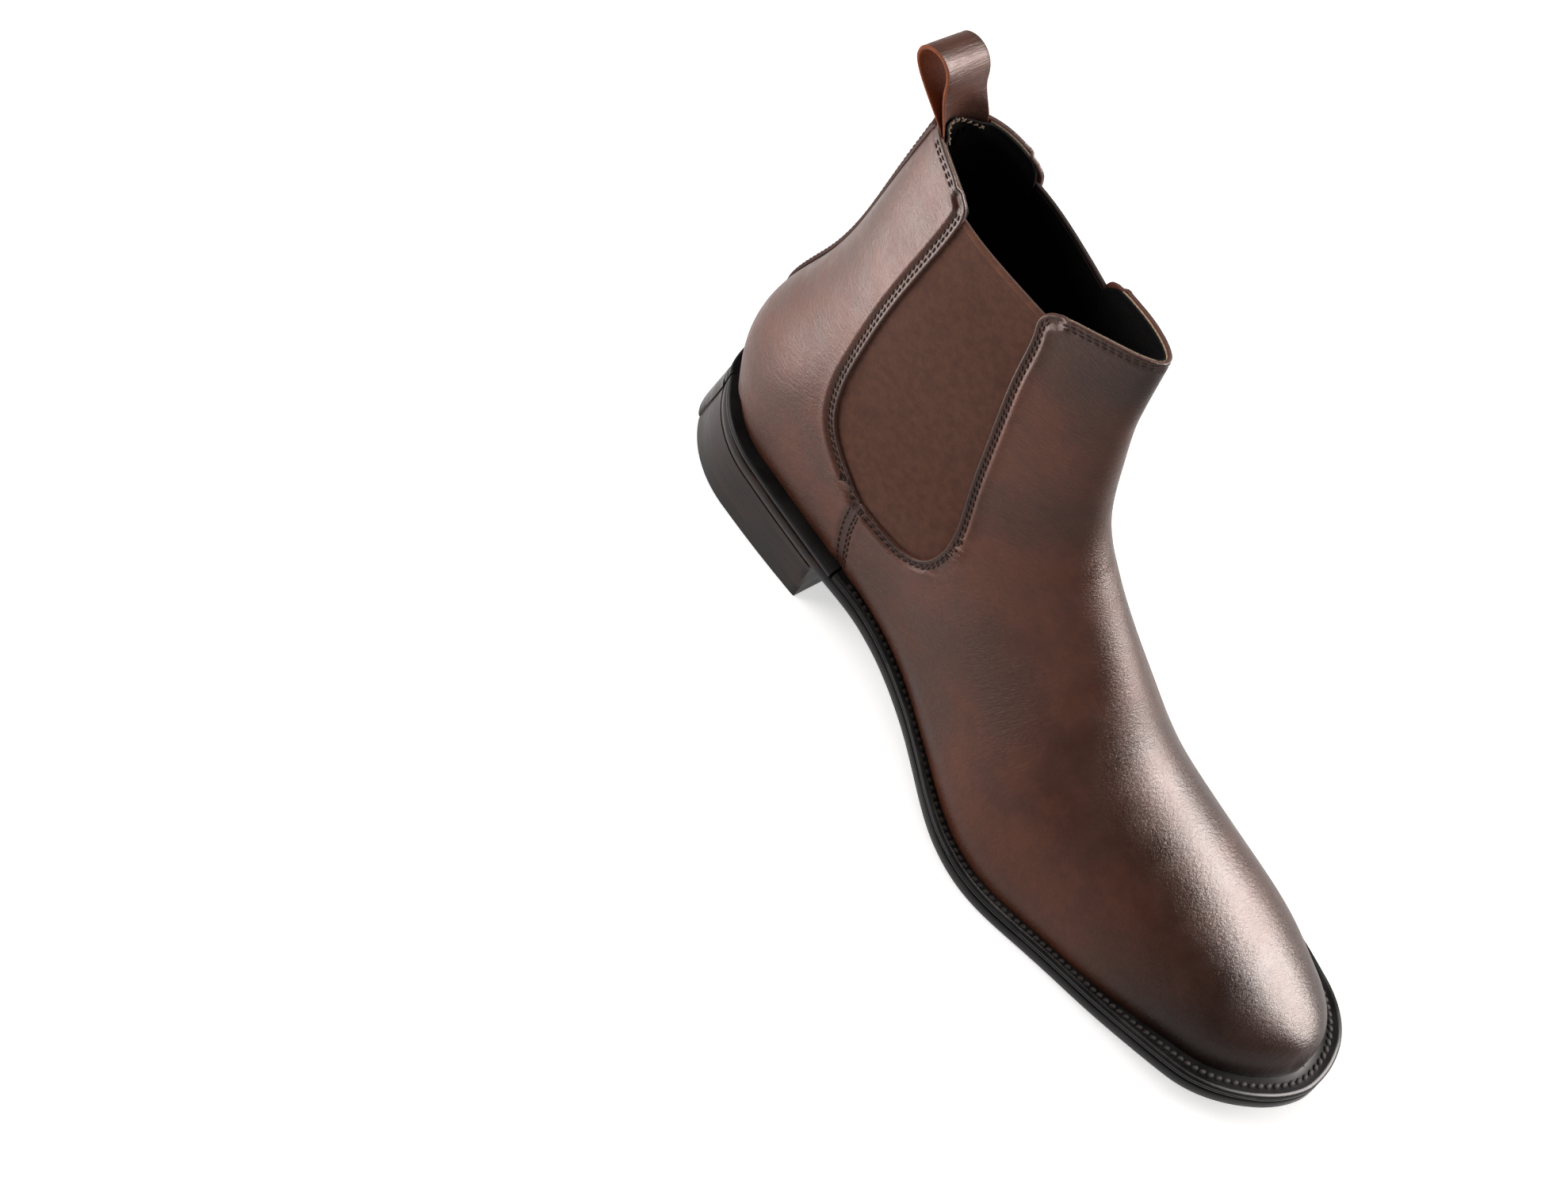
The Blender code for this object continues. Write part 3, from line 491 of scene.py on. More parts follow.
def panel(name, outline, looks, spacing=1.5, depth=0.0, thick=OUTER, inward=False, rows=(),
          relief=None, rim_steps=4, rim=0.45, lip=3.0, closed_toe=False):
    """A leather or cloth panel: fine surface, rounded rim and a lip on the hidden side.

    outline is a closed line on the chart, rows are distances of extra points beside it, and relief
    gives a height for points on the surface. An inward panel shows its face to the foot.
    """
    surface_tree = tree_of(from_chart(outline))
    inner = hex_grid(outline, spacing)
    reach = spacing * 0.6
    made = []
    if rows:
        made = edge_rows(outline, surface_tree, rows)
        reach = rows[-1] + spacing * 0.5
    near = distance_from(from_chart(inner), surface_tree)
    inner = inner[near > reach]
    chart, faces, border = triangulate(outline, np.vstack([inner] + made))
    points = from_chart(chart)
    if closed_toe:
        at_toe = chart[:, 0] < 1e-6
        same = np.arange(len(points))
        seen = {}
        for i in np.where(at_toe)[0]:
            same[i] = seen.setdefault(round(float(points[i, 2]), 3), i)
        faces = same[faces]
        border = same[border]
        keep = outline[:, 0] >= 1e-6
        keep[np.argmin(keep)] = True
        border = border[keep]
    _, _, _, outside = frame_at(chart)
    normals = vertex_normals(points, faces)
    if np.sum(normals * outside) < 0:
        faces = faces[:, ::-1]
        normals = -normals
    edge = distance_from(points, surface_tree)
    if relief is not None:
        points = points + normals * relief(points)[:, None]
        normals = vertex_normals(points, faces)
    deep = depth(points) if callable(depth) else depth
    base = points - normals * np.reshape(deep + thick * inward, (-1, 1))
    facing = -normals if inward else normals
    if inward:
        faces = faces[:, ::-1]
    ring = base[border]
    down = facing[border]
    ahead = unit(np.roll(ring, -1, axis=0) - np.roll(ring, 1, axis=0))
    outward = unit(np.cross(ahead, down))
    owner = {}
    for face in faces:
        for k in range(3):
            owner[(int(face[k]), int(face[(k + 1) % 3]))] = int(face[(k + 2) % 3])
    a, b = int(border[1]), int(border[2])
    third = owner.get((a, b), owner.get((b, a)))
    forward = (a, b) in owner
    if (points[third] - points[a]) @ outward[1] > 0:
        outward = -outward
    radius = min(rim, thick / 2)
    stack = [base]
    for k in range(1, rim_steps + 1):
        turn = math.pi / 2 * k / rim_steps
        stack.append(ring + outward * radius * math.sin(turn) - down * radius * (1 - math.cos(turn)))
    stack.append(ring + outward * radius - down * (thick - radius * 0.5))
    stack.append(ring + outward * radius * 0.5 - down * thick)
    stack.append(stack[-1] - outward * lip)
    count = len(border)
    quads = []
    previous = border
    for k in range(len(stack) - 1):
        current = np.arange(count) + len(base) + k * count
        quad = np.stack([previous, current, np.roll(current, -1), np.roll(previous, -1)], 1)
        quads.append(quad if forward else quad[:, ::-1])
        previous = current
    everything = np.vstack(stack)
    cut_face = np.repeat([0.0] * (rim_steps - 1) + [-1.0] * 4, count)
    edge = np.r_[edge, cut_face]
    every_face = [tuple(f) for f in faces] + [tuple(q) for q in np.vstack(quads)]
    piece = new_object(name, everything, every_face, looks, edge)
    return mark(piece, np.vstack([chart] + [chart[border]] * (len(stack) - 1)))


# ---- outlines of the panels
MEETING = 0.6


def joined(*lines):
    """One closed outline from lines that meet end to end."""
    whole = [lines[0]]
    for line in lines[1:]:
        whole.append(line[1:] if they_meet(line, whole[-1]) else line)
    outline = np.vstack(whole)
    return outline[:-1] if they_meet(outline, outline) else outline


def they_meet(line, before):
    """Whether a line starts where the one before it ends."""
    return np.linalg.norm(from_chart(line[:1]) - from_chart(before[-1:])) < MEETING


def index_on_outer(chart_point):
    return float(np.interp(chart_point[0], CHART_M, CHART_INDEX))


def quarter_border(side):
    """Chart lines of a quarter: sole edge and back seam, top line, gore edge with the side seam."""
    seam = chart_line(np.array(SEAM) - (GAP / 2, 0), side)
    gore = chart_line(np.array(GORE_REAR + QUARTER_CORNER) - (GAP / 2, 0), side)
    top = chart_line(QUARTER_CORNER[-1:] + QUARTER_TOP, side)
    sole = outer_border(index_on_outer(seam[0]), index_on_outer(top[-1]), side)
    return sole, top[::-1], gore[::-1], seam[::-1]


def vamp_border():
    """Chart lines of the vamp: lateral edge, sole edge round the toe, medial edge, top line."""
    halves = {}
    for side in (LATERAL, MEDIAL):
        seam = chart_line(np.array(SEAM) + (GAP / 2, 0), side)
        gore = chart_line(np.array(GORE_FRONT + VAMP_CORNER) + (GAP / 2, 0), side)
        top = chart_line(VAMP_CORNER[-1:] + VAMP_TOP, side)
        sole = outer_border(index_on_outer(seam[0]), 0.0, side)
        halves[side] = top, gore, seam, sole
    return halves


def toe_closing():
    limit = girth_at(0.0)
    n = np.linspace(-limit, limit, 15)[1:-1]
    return np.stack([np.zeros_like(n), n], 1)


# ---- materials
class Nodes:
    """Short way to lay out a material's nodes."""

    def __init__(self, name):
        self.material = bpy.data.materials.new(name)
        self.material.use_nodes = True
        self.tree = self.material.node_tree
        self.shader = self.tree.nodes['Principled BSDF']

    def add(self, kind, settings=None, **inputs):
        node = self.tree.nodes.new('ShaderNode' + kind)
        for key, value in (settings or {}).items():
            setattr(node, key, value)
        self.fill(node, inputs)
        return node

    def fill(self, node, inputs):
        for key, value in inputs.items():
            self.feed(node.inputs[key.replace('_', ' ')], value)

    def feed(self, socket, value):
        if isinstance(value, bpy.types.NodeSocket):
            self.tree.links.new(value, socket)
        else:
            socket.default_value = value

    def set(self, **values):
        self.fill(self.shader, values)

    def place(self, scale=(1.0, 1.0, 1.0)):
        """Position on the object in metres, stretched by a scale."""
        coordinate = self.add('TexCoord').outputs['Object']
        return self.add('Mapping', Vector=coordinate, Scale=scale).outputs[0]

    def chart(self, scale):
        """Position on the leather: along the foot and round it, in metres."""
        coordinate = self.add('Attribute', {'attribute_name': 'chart'}).outputs['Vector']
        return self.add('Mapping', Vector=coordinate, Scale=scale).outputs[0]

    def value(self, name):
        return self.add('Attribute', {'attribute_name': name}).outputs['Fac']

    def noise(self, where, scale, detail=2.0, roughness=0.5):
        made = self.add('TexNoise', Vector=where, Scale=scale, Detail=detail, Roughness=roughness)
        return made.outputs['Fac']

    def cells(self, where, scale, feature='DISTANCE_TO_EDGE'):
        return self.add('TexVoronoi', {'feature': feature}, Vector=where, Scale=scale).outputs['Distance']

    def ramp(self, value, low, high, to_low=0.0, to_high=1.0):
        made = self.add('MapRange', {'clamp': True, 'interpolation_type': 'SMOOTHSTEP'}, Value=value,
                        From_Min=low, From_Max=high, To_Min=to_low, To_Max=to_high)
        return made.outputs[0]

    def maths(self, operation, first, second):
        node = self.add('Math', {'operation': operation})
        self.feed(node.inputs[0], first)
        self.feed(node.inputs[1], second)
        return node.outputs[0]

    def mix(self, share, first, second, kind='MIX'):
        node = self.add('Mix', {'data_type': 'RGBA', 'blend_type': kind})
        self.feed(node.inputs[0], share)
        self.feed(node.inputs[6], first)
        self.feed(node.inputs[7], second)
        return node.outputs[2]

    def bump(self, height, distance, strength=1.0, under=None):
        node = self.add('Bump', Height=height, Distance=distance, Strength=strength)
        if under is not None:
            self.feed(node.inputs['Normal'], under)
        return node.outputs[0]


def colour(red, green, blue):
    return (red, green, blue, 1.0)


CUT_LEATHER = colour(0.085, 0.026, 0.014)


def leather_look(name, dark, warm, black, roughness, shine=0.16):
    """Burnished smooth leather: reddish patches, darker edges and toe, painted shade above the sole and on
    the shaft front, pores and fine creases.
    """
    n = Nodes(name)
    where = n.place()
    chart = n.chart((1.0, 1.0, 1.0))
    patches = n.ramp(n.noise(where, 22.0, 5.0, 0.6), 0.34, 0.66)
    mottle = n.ramp(n.noise(where, 240.0, 4.0, 0.6), 0.3, 0.75)
    tone = n.mix(patches, dark, warm)
    tone = n.mix(n.maths('MULTIPLY', mottle, 0.35), tone, dark)
    # the darkening kept on each point is the burnished toe plus painted shade on the shaft front and above
    # the sole, all mixed toward black
    burnish_and_shade = n.maths('MAXIMUM', n.value('burnish_and_shade'), n.ramp(n.value('edge'), 1.0, 3.8, 0.55, 0.0))
    tone = n.mix(burnish_and_shade, tone, black)
    cut_face = n.ramp(n.value('edge'), -0.9, -0.3, 0.9, 0.0)
    tone = n.mix(cut_face, tone, CUT_LEATHER)
    pores = n.ramp(n.cells(chart, 1050.0), 0.0, 0.16)
    creases = n.noise(n.chart((1000.0, 420.0, 1.0)), 1.0, 4.0, 0.65)
    long_creases = n.noise(n.chart((430.0, 100.0, 1.0)), 1.0, 2.0, 0.5)
    gloss = n.ramp(n.noise(where, 90.0, 4.0, 0.6), 0.3, 0.7, roughness - 0.05, roughness + 0.07)
    n.set(Base_Color=tone, Roughness=n.maths('MAXIMUM', gloss, cut_face), Specular_IOR_Level=shine,
          IOR=1.5, Coat_Weight=0.06, Coat_Roughness=0.2, Coat_IOR=1.5)
    fine = n.bump(pores, 0.00005, 0.5)
    fine = n.bump(creases, 0.00045, 0.6, fine)
    surface = n.bump(long_creases, 0.0005, 0.25, fine)
    n.set(Normal=surface, Coat_Normal=surface)
    return n.material


def suede_look(name, tone, deep):
    n = Nodes(name)
    where = n.place()
    nap = n.noise(where, 2200.0, 4.0, 0.7)
    n.set(Base_Color=n.mix(n.ramp(nap, 0.3, 0.7), deep, tone), Roughness=0.92,
          Specular_IOR_Level=0.1, Normal=n.bump(nap, 0.0003, 0.6))
    return n.material


def elastic_look(name, tone, deep):
    """Fine matt elastic cloth with a slight mottle."""
    n = Nodes(name)
    weave = n.noise(n.chart((2300.0, 3300.0, 1.0)), 1.0, 2.0, 0.6)
    ribs = n.noise(n.chart((90.0, 2000.0, 1.0)), 1.0, 1.0, 0.5)
    mottle = n.noise(n.place(), 300.0, 5.0, 0.7)
    tone = n.mix(n.ramp(mottle, 0.3, 0.7), deep, tone)
    tone = n.mix(n.ramp(weave, 0.35, 0.75, 0.0, 0.6), tone, deep)
    n.set(Base_Color=tone, Roughness=0.9, Specular_IOR_Level=0.1, Sheen_Weight=0.05,
          Sheen_Roughness=0.5, Normal=n.bump(ribs, 0.00012, 0.35, n.bump(weave, 0.0003, 0.5)))
    return n.material


def thread_look(name, tone, deep):
    n = Nodes(name)
    twist = n.noise(n.place((2400.0, 2400.0, 2400.0)), 1.0, 2.0, 0.5)
    n.set(Base_Color=n.mix(twist, deep, tone), Roughness=0.8, Specular_IOR_Level=0.15,
          Normal=n.bump(twist, 0.0001, 0.5))
    return n.material


def cloth_look(name, tone, deep, scale=1500.0, roughness=0.85):
    n = Nodes(name)
    weave = n.cells(n.place(), scale, 'F1')
    n.set(Base_Color=n.mix(n.ramp(weave, 0.1, 0.8), tone, deep), Roughness=roughness,
          Specular_IOR_Level=0.04, Normal=n.bump(weave, 0.0002, 0.5))
    return n.material


def edge_look(name, tone, deep, roughness, line_scale=2600.0, line_height=0.00006):
    """Waxed sole or heel edge with fine lines along it."""
    n = Nodes(name)
    lines = n.noise(n.place((40.0, 40.0, line_scale)), 1.0, 3.0, 0.55)
    blot = n.noise(n.place((60.0, 60.0, 220.0)), 1.0, 4.0, 0.6)
    fine = n.bump(n.noise(n.place(), 1800.0, 2.0), 0.00006, 0.3)
    n.set(Base_Color=n.mix(n.ramp(blot, 0.35, 0.7), deep, tone),
          Roughness=n.ramp(blot, 0.3, 0.7, roughness - 0.05, roughness + 0.08),
          Specular_IOR_Level=0.10, Coat_Weight=0.04, Coat_Roughness=0.2,
          Normal=n.bump(lines, line_height, 0.3, fine))
    return n.material


def board_look(name, tone, deep, scale, roughness=0.9):
    n = Nodes(name)
    grain = n.noise(n.place(), scale, 5.0, 0.65)
    n.set(Base_Color=n.mix(n.ramp(grain, 0.3, 0.7), deep, tone), Roughness=roughness,
          Normal=n.bump(grain, 0.0004, 0.5))
    return n.material


def metal_look(name):
    n = Nodes(name)
    brushed = n.noise(n.place((30.0, 900.0, 900.0)), 1.0, 3.0)
    n.set(Base_Color=n.mix(brushed, colour(0.4, 0.4, 0.41), colour(0.55, 0.55, 0.56)), Metallic=1.0,
          Roughness=n.ramp(brushed, 0.3, 0.7, 0.28, 0.42))
    return n.material


LEATHER_LOOK = leather_look('burnished_leather', colour(0.050, 0.0175, 0.010),
                            colour(0.100, 0.031, 0.0150), colour(0.008, 0.0042, 0.0033), 0.36)
STRIP_LOOK = leather_look('back_strip_leather', colour(0.040, 0.011, 0.0065),
                          colour(0.055, 0.015, 0.008), colour(0.022, 0.007, 0.005), 0.55, 0.05)
TAB_LOOK = leather_look('tab_leather', colour(0.078, 0.027, 0.016), colour(0.098, 0.034, 0.019),
                        colour(0.060, 0.021, 0.013), 0.50, 0.10)
SUEDE_LOOK = suede_look('rust_suede', colour(0.25, 0.072, 0.030), colour(0.13, 0.036, 0.016))
ELASTIC_LOOK = elastic_look('brown_elastic', colour(0.090, 0.035, 0.020), colour(0.058, 0.022, 0.013))
SELVEDGE_LOOK = elastic_look('elastic_selvedge', colour(0.13, 0.045, 0.022), colour(0.07, 0.025, 0.014))
# painted shade: the same selvedge elastic again, darker, for the medial gore
PAINTED_SHADE_SELVEDGE_LOOK = elastic_look('selvedge_painted_shade', colour(0.030, 0.013, 0.009),
                                  colour(0.016, 0.008, 0.006))
LINING_LOOK = cloth_look('black_lining', colour(0.006, 0.0055, 0.0055), colour(0.003, 0.003, 0.003),
                         1800.0, 0.8)
CREAM_LOOK = cloth_look('cream_tape', colour(0.48, 0.36, 0.25), colour(0.30, 0.21, 0.14))
THREAD_LOOK = thread_look('brown_thread', colour(0.040, 0.020, 0.015), colour(0.014, 0.008, 0.006))
WELT_THREAD_LOOK = thread_look('welt_thread', colour(0.020, 0.012, 0.010), colour(0.007, 0.005, 0.004))
EDGE_LOOK = edge_look('black_sole_edge', colour(0.014, 0.012, 0.012), colour(0.005, 0.0048, 0.0048), 0.34)
HEEL_LOOK = edge_look('stacked_heel', colour(0.022, 0.011, 0.008), colour(0.008, 0.005, 0.004),
                      0.32, 1100.0, 0.00001)
RUBBER_LOOK = edge_look('black_top_piece', colour(0.014, 0.009, 0.007), colour(0.008, 0.006, 0.0055),
                        0.34, 1100.0, 0.00001)
SOLE_LOOK = board_look('sole_underside', colour(0.030, 0.024, 0.021), colour(0.014, 0.012, 0.011),
                       900.0, 0.6)
BOARD_LOOK = board_look('insole_board', colour(0.45, 0.34, 0.22), colour(0.32, 0.23, 0.15), 500.0)
CORK_LOOK = board_look('cork', colour(0.40, 0.24, 0.12), colour(0.16, 0.09, 0.045), 420.0)
STIFF_LOOK = board_look('stiffener', colour(0.42, 0.33, 0.24), colour(0.30, 0.23, 0.17), 800.0)
STEEL_LOOK = metal_look('shank_steel')


# ---- shading facts kept on the leather
# how dark the leather gets at the burnished toe and on the toe's flanks, where a light burnishing and
# painted shade darken it above the sole and over the front of the shaft towards the top line, and the spans
# over which it gets there
TOE_BURNISH = 0.45
FLANK_BURNISH = 0.53
SOLE_BURNISH_AND_SHADE = 0.4
TOP_BURNISH_AND_SHADE = 0.6
TOE_BURNISH_SPAN = (200, 75)
FLANK_BURNISH_SPAN = (46, -30)
TOP_BURNISH_AND_SHADE_SPAN = (150, 40)
SOLE_BURNISH_AND_SHADE_HEIGHT = 20
VAMP_START_X = 85


def mark(piece, chart=None):
    """Keep the chart place of every point and how dark the material makes it: burnished toe, painted shade
    over burnishing above the sole and on the shaft front.
    """
    mesh = piece.data
    points = np.zeros(len(mesh.vertices) * 3)
    mesh.vertices.foreach_get('co', points)
    points = points.reshape(-1, 3) / MM + (MIDDLE_X, MIDDLE_Y, 0.0)
    if chart is None:
        chart = points[:, (0, 2)]
    place = np.zeros((len(points), 3))
    place[:len(chart), :2] = chart
    layer = mesh.attributes.new('chart', 'FLOAT_VECTOR', 'POINT')
    layer.data.foreach_set('vector', (place * MM).astype(np.float32).ravel())
    x, z = points[:, 0], points[:, 2]
    toe = over(x, TOE_BURNISH_SPAN) * (TOE_BURNISH + FLANK_BURNISH * over(z, FLANK_BURNISH_SPAN))
    # painted shade over a light burnishing: the leather is darker just above the sole
    above = z - feather_z(np.clip(x, HEEL_CORNER_X, TOE_X))
    low = (1 - smooth(above / SOLE_BURNISH_AND_SHADE_HEIGHT)) * SOLE_BURNISH_AND_SHADE
    # painted shade over the burnished top line: the front of the shaft is darker towards its top
    high = over(z, TOP_BURNISH_AND_SHADE_SPAN) * TOP_BURNISH_AND_SHADE * (x > VAMP_START_X)
    keep_value(mesh, 'burnish_and_shade', np.maximum(np.maximum(toe, low), high))
    return piece


# ---- stitching
# along the stitch, size and drop of its rings
STITCH_RINGS = ((-1.0, 0.35, -0.9), (-0.8, 0.85, -0.35), (-0.3, 1.0, 0.0), (0.3, 1.0, 0.0),
                (0.8, 0.85, -0.35), (1.0, 0.35, -0.9))


def capsule(half, radius, sides=6):
    """Points and faces of one stitch lying along x, its ends bent down."""
    points = []
    for along, size, drop in STITCH_RINGS:
        for k in range(sides):
            turn = 2 * math.pi * k / sides
            aside, up = size * math.cos(turn), size * math.sin(turn) + drop
            points.append((along * half, radius * aside, radius * up))
    faces = [tuple(range(sides))[::-1], tuple(range(len(points) - sides, len(points)))]
    faces += ring_faces(sides, len(STITCH_RINGS), True, False)
    return np.array(points), faces


def stitch_run(points, normals, pitch, length, radius, slant=0.0, lift=0.0):
    """Stitches along a line on a surface: points and faces of all of them."""
    run = lengths_along(points)
    count = max(1, int(run[-1] / pitch))
    at = (np.arange(count) + 0.5) * run[-1] / count
    spot = read_along(at, run, points)
    up = unit(read_along(at, run, normals))
    ahead = read_along(at + 0.3, run, points) - read_along(at - 0.3, run, points)
    ahead = unit(ahead - up * (ahead * up).sum(1)[:, None])
    aside = np.cross(up, ahead)
    turned = ahead * math.cos(slant) + aside * math.sin(slant)
    aside = np.cross(up, turned)
    shape, faces = capsule(length / 2, radius)
    stitches = []
    for number in range(count):
        axes = np.array((turned[number], aside[number], up[number]))
        stitches.append((spot[number] + up[number] * lift + shape @ axes, faces))
    return together(stitches)


def together(shapes):
    """Points and faces of several shapes as one."""
    points, faces, count = [], [], 0
    for some_points, some_faces in shapes:
        points.append(some_points)
        faces += [tuple(i + count for i in face) for face in some_faces]
        count += len(some_points)
    return np.vstack(points), faces


def thread(name, runs, look):
    """One piece from several runs of stitches."""
    points, faces = together(runs)
    return mark(new_object(name, points, faces, [look]))


def inner_side(line, outline):
    return 1 if inside_outline(shifted(line, 1.0), outline).mean() > 0.5 else -1


def row_beside(line, distance, outline, relief, ends=(0.0, 0.0)):
    """Surface line at a distance inside a border line, with its normals; relief follows the leather."""
    points, _, _, normals = frame_at(drawn_in(line, outline, distance)[1:-1])
    normals = gentle(normals)
    points = points + normals * relief(points)[:, None]
    run = lengths_along(points)
    keep = (run >= ends[0]) & (run <= run[-1] - ends[1])
    return points[keep], normals[keep]


def gentle(normals):
    """Normals evened out along their line."""
    for _ in range(3):
        three = np.roll(normals, 1, axis=0) + normals + np.roll(normals, -1, axis=0)
        normals = three / 3 * 0.5 + normals * 0.5
    return unit(normals)


TOP_ROWS = (1.4, 2.8)
GORE_ROWS = (1.2, 2.4)
SEAM_ROWS = (1.3, 2.6)
STITCH_PITCH = 2.7
STITCH_LENGTH = 2.1
STITCH_RADIUS = 0.30
STITCH_LIFT = 0.16
# rise, distance from the edge and width of the swellings and stitch grooves beside each kind of edge
TOP_FORM = ((-0.16, TOP_ROWS[0], 0.42), (-0.16, TOP_ROWS[1], 0.42), (0.14, 4.4, 1.1), (0.10, 0.6, 0.4))
GORE_FORM = ((0.40, 4.3, 1.1), (0.12, 0.3, 0.4), (-0.14, GORE_ROWS[0], 0.4), (-0.14, GORE_ROWS[1], 0.4))
SEAM_FORM = ((0.20, 3.9, 1.1),)
# drop of the leather at each kind of edge, where it starts to rise again and over what width
TOP_DROP = (0.0, 0.0, 1.0)
GORE_DROP = (0.62, GORE_ROWS[1] + 0.1, 1.2)
SEAM_DROP = (0.25, SEAM_ROWS[0], 1.6)


class Shaping:
    """Height of the leather near its stitched edges."""

    def __init__(self, *lines):
        self.trees = [line_tree(some, 0.4) for some in lines]

    def __call__(self, points):
        forms = (TOP_DROP, TOP_FORM), (GORE_DROP, GORE_FORM), (SEAM_DROP, SEAM_FORM)
        height = np.zeros(len(points))
        for tree, ((drop, start, width), form) in zip(self.trees, forms):
            distance = distance_from(points, tree)
            height -= drop * (1 - smooth((distance - start) / width))
            for rise, middle, spread in form:
                height += rise * bell(distance - middle, spread)
        return height


# ---- the upper
FINE_ROWS = (0.4, 0.8, 1.2, 1.6, 2.0, 2.4, 2.8, 3.3, 3.9, 4.6, 5.4)
LINING_ROWS = (0.8, 1.8, 3.0, 4.4)
LINING_RISE = 1.5
LINING_RISE_BELOW_TOP = 6.5
LINING_RISE_BESIDE_TAB = 2.5


def finish_piece(piece, body, slot, *nodes):
    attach(piece, body)
    if nodes:
        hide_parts(*nodes)
    return piece


def lining_depth(top_lines):
    """Depth of the lining: close behind the leather at the top line, clear of the pull tab's legs."""
    top = line_tree(top_lines, 0.6)

    def depth(points):
        near_top = 1 - smooth(distance_from(points, top) / LINING_RISE_BELOW_TOP)
        beside_tab = over(np.abs(points[:, 1]), (TAB_WIDTH / 2, LINING_RISE_BESIDE_TAB))
        beside_tab = np.where(points[:, 0] > VAMP_START_X - 5, 1.0, beside_tab)
        return LINING_DEPTH - LINING_RISE * near_top * beside_tab
    return depth


def make_lining(name, outline, spacing, top_lines, node, closed_toe=False):
    piece = panel(name, outline, [LINING_LOOK], spacing=spacing, depth=lining_depth(top_lines),
                  thick=LINING, inward=True, rim_steps=2, rows=LINING_ROWS, closed_toe=closed_toe)
    finish_piece(piece, 'boot', 'lining', node)


def make_quarter(side, label):
    sole, top, gore, seam = quarter_border(side)
    outline = joined(sole, top, gore, seam)
    shaping = Shaping([top], [gore], [seam])
    piece = panel('quarter_' + label + '_leather', outline, [LEATHER_LOOK], rows=FINE_ROWS,
                  relief=shaping)
    finish_piece(piece, 'boot', 'leather', 'quarter_' + label)
    inner = joined(sole, lowered(top)[:-1], drawn_in(gore, outline), seam)
    make_lining('quarter_' + label + '_inside', inner, 2.5, [top], 'quarter_lining_' + label)
    return top, gore, seam, outline, shaping


def lowered(line, drop=0.75):
    """A top line moved down the leg a little."""
    points = from_chart(line)
    side = np.where(line[:, 1] < 0, LATERAL, MEDIAL)
    return to_chart(points[:, 0], points[:, 2] - drop, side)


def drawn_in(line, outline, distance=1.1):
    """A border line moved toward the inside of its outline."""
    return shifted(line, distance * inner_side(line, outline))


def make_vamp():
    halves = vamp_border()
    top, gore, seam, sole = halves[LATERAL]
    far_top, far_gore, far_seam, far_sole = halves[MEDIAL]
    rest = (gore[::-1], seam[::-1], sole, toe_closing(), far_sole[::-1], far_seam, far_gore)
    outline = joined(top[::-1], *rest, far_top)
    shaping = Shaping([top, far_top], [gore, far_gore], [seam, far_seam])
    piece = panel('vamp_leather', outline, [LEATHER_LOOK], rows=FINE_ROWS, relief=shaping,
                  closed_toe=True)
    finish_piece(piece, 'boot', 'leather', 'vamp')
    rest = (drawn_in(gore, outline)[::-1],) + rest[1:-1] + (drawn_in(far_gore, outline),)
    inner = joined(lowered(top)[:0:-1], *rest, lowered(far_top)[1:])
    make_lining('vamp_inside', inner, 3.0, [top, far_top], 'vamp_lining', True)
    return halves, outline, shaping


TAPE_DEPTH = 1.36
TAPE_THICK = 0.45
TAPE_TOP = 0.15
TAPE_FOOT = 5.5


def make_tape(label, line):
    """Thin cream tape between leather and lining, its edge just showing along a top line."""
    band = joined(lowered(line, TAPE_TOP), lowered(line, TAPE_FOOT)[::-1])
    tape = panel('topline_tape_' + label + '_cloth', band, [CREAM_LOOK], spacing=2.0, depth=TAPE_DEPTH,
                 thick=TAPE_THICK, rim_steps=2, rim=0.15, lip=0.5)
    finish_piece(tape, 'boot', 'tape', 'topline_tape_' + label)


def make_upper():
    halves, vamp_outline, vamp_shaping = make_vamp()
    runs = []
    for side, label in ((LATERAL, 'lateral'), (MEDIAL, 'medial')):
        top, gore, seam, outline, shaping = make_quarter(side, label)
        for distance in TOP_ROWS:
            runs.append(along_edge(top, distance, outline, shaping, (5.0, 3.0)))
        for distance in GORE_ROWS:
            runs.append(along_edge(gore, distance, outline, shaping, (3.0, 0.0), 0.25))
        runs.append(along_edge(seam, SEAM_ROWS[0], outline, shaping, (0.0, 3.0)))
        reach = lengths_along(from_chart(top))
        make_tape(label, top[(reach > 9.5) & (reach < reach[-1] - 1.5)])
        top, gore, seam, _ = halves[side]
        for distance in TOP_ROWS:
            runs.append(along_edge(top, distance, vamp_outline, vamp_shaping, (1.0, 0.0)))
        for distance in GORE_ROWS:
            runs.append(along_edge(gore, distance, vamp_outline, vamp_shaping, (0.0, 2.0), 0.3))
        for distance in SEAM_ROWS:
            runs.append(along_edge(seam, distance, vamp_outline, vamp_shaping, (3.0, 0.0)))
    make_tape('front', joined(halves[LATERAL][0][2:-1], halves[MEDIAL][0][2:][::-1]))
    finish_piece(thread('upper_stitching', runs, THREAD_LOOK), 'boot', 'leather')


def along_edge(line, distance, outline, relief, ends, slant=0.0):
    points, normals = row_beside(line, distance, outline, relief, ends)
    return stitch_run(points, normals, STITCH_PITCH, STITCH_LENGTH, STITCH_RADIUS, slant, STITCH_LIFT)


# ---- elastic gores
GORE_TOP_Z = 179.6
GORE_FOOT_X = 92
GORE_FOOT_Z = 74
SELVEDGE_ENDS = (48.5, 99.0)
SELVEDGE_ABOVE = 0.5
SELVEDGE_BELOW = 0.9
# the medial selvedge is the same cloth with painted shade
SELVEDGE_LOOKS = {LATERAL: SELVEDGE_LOOK, MEDIAL: PAINTED_SHADE_SELVEDGE_LOOK}


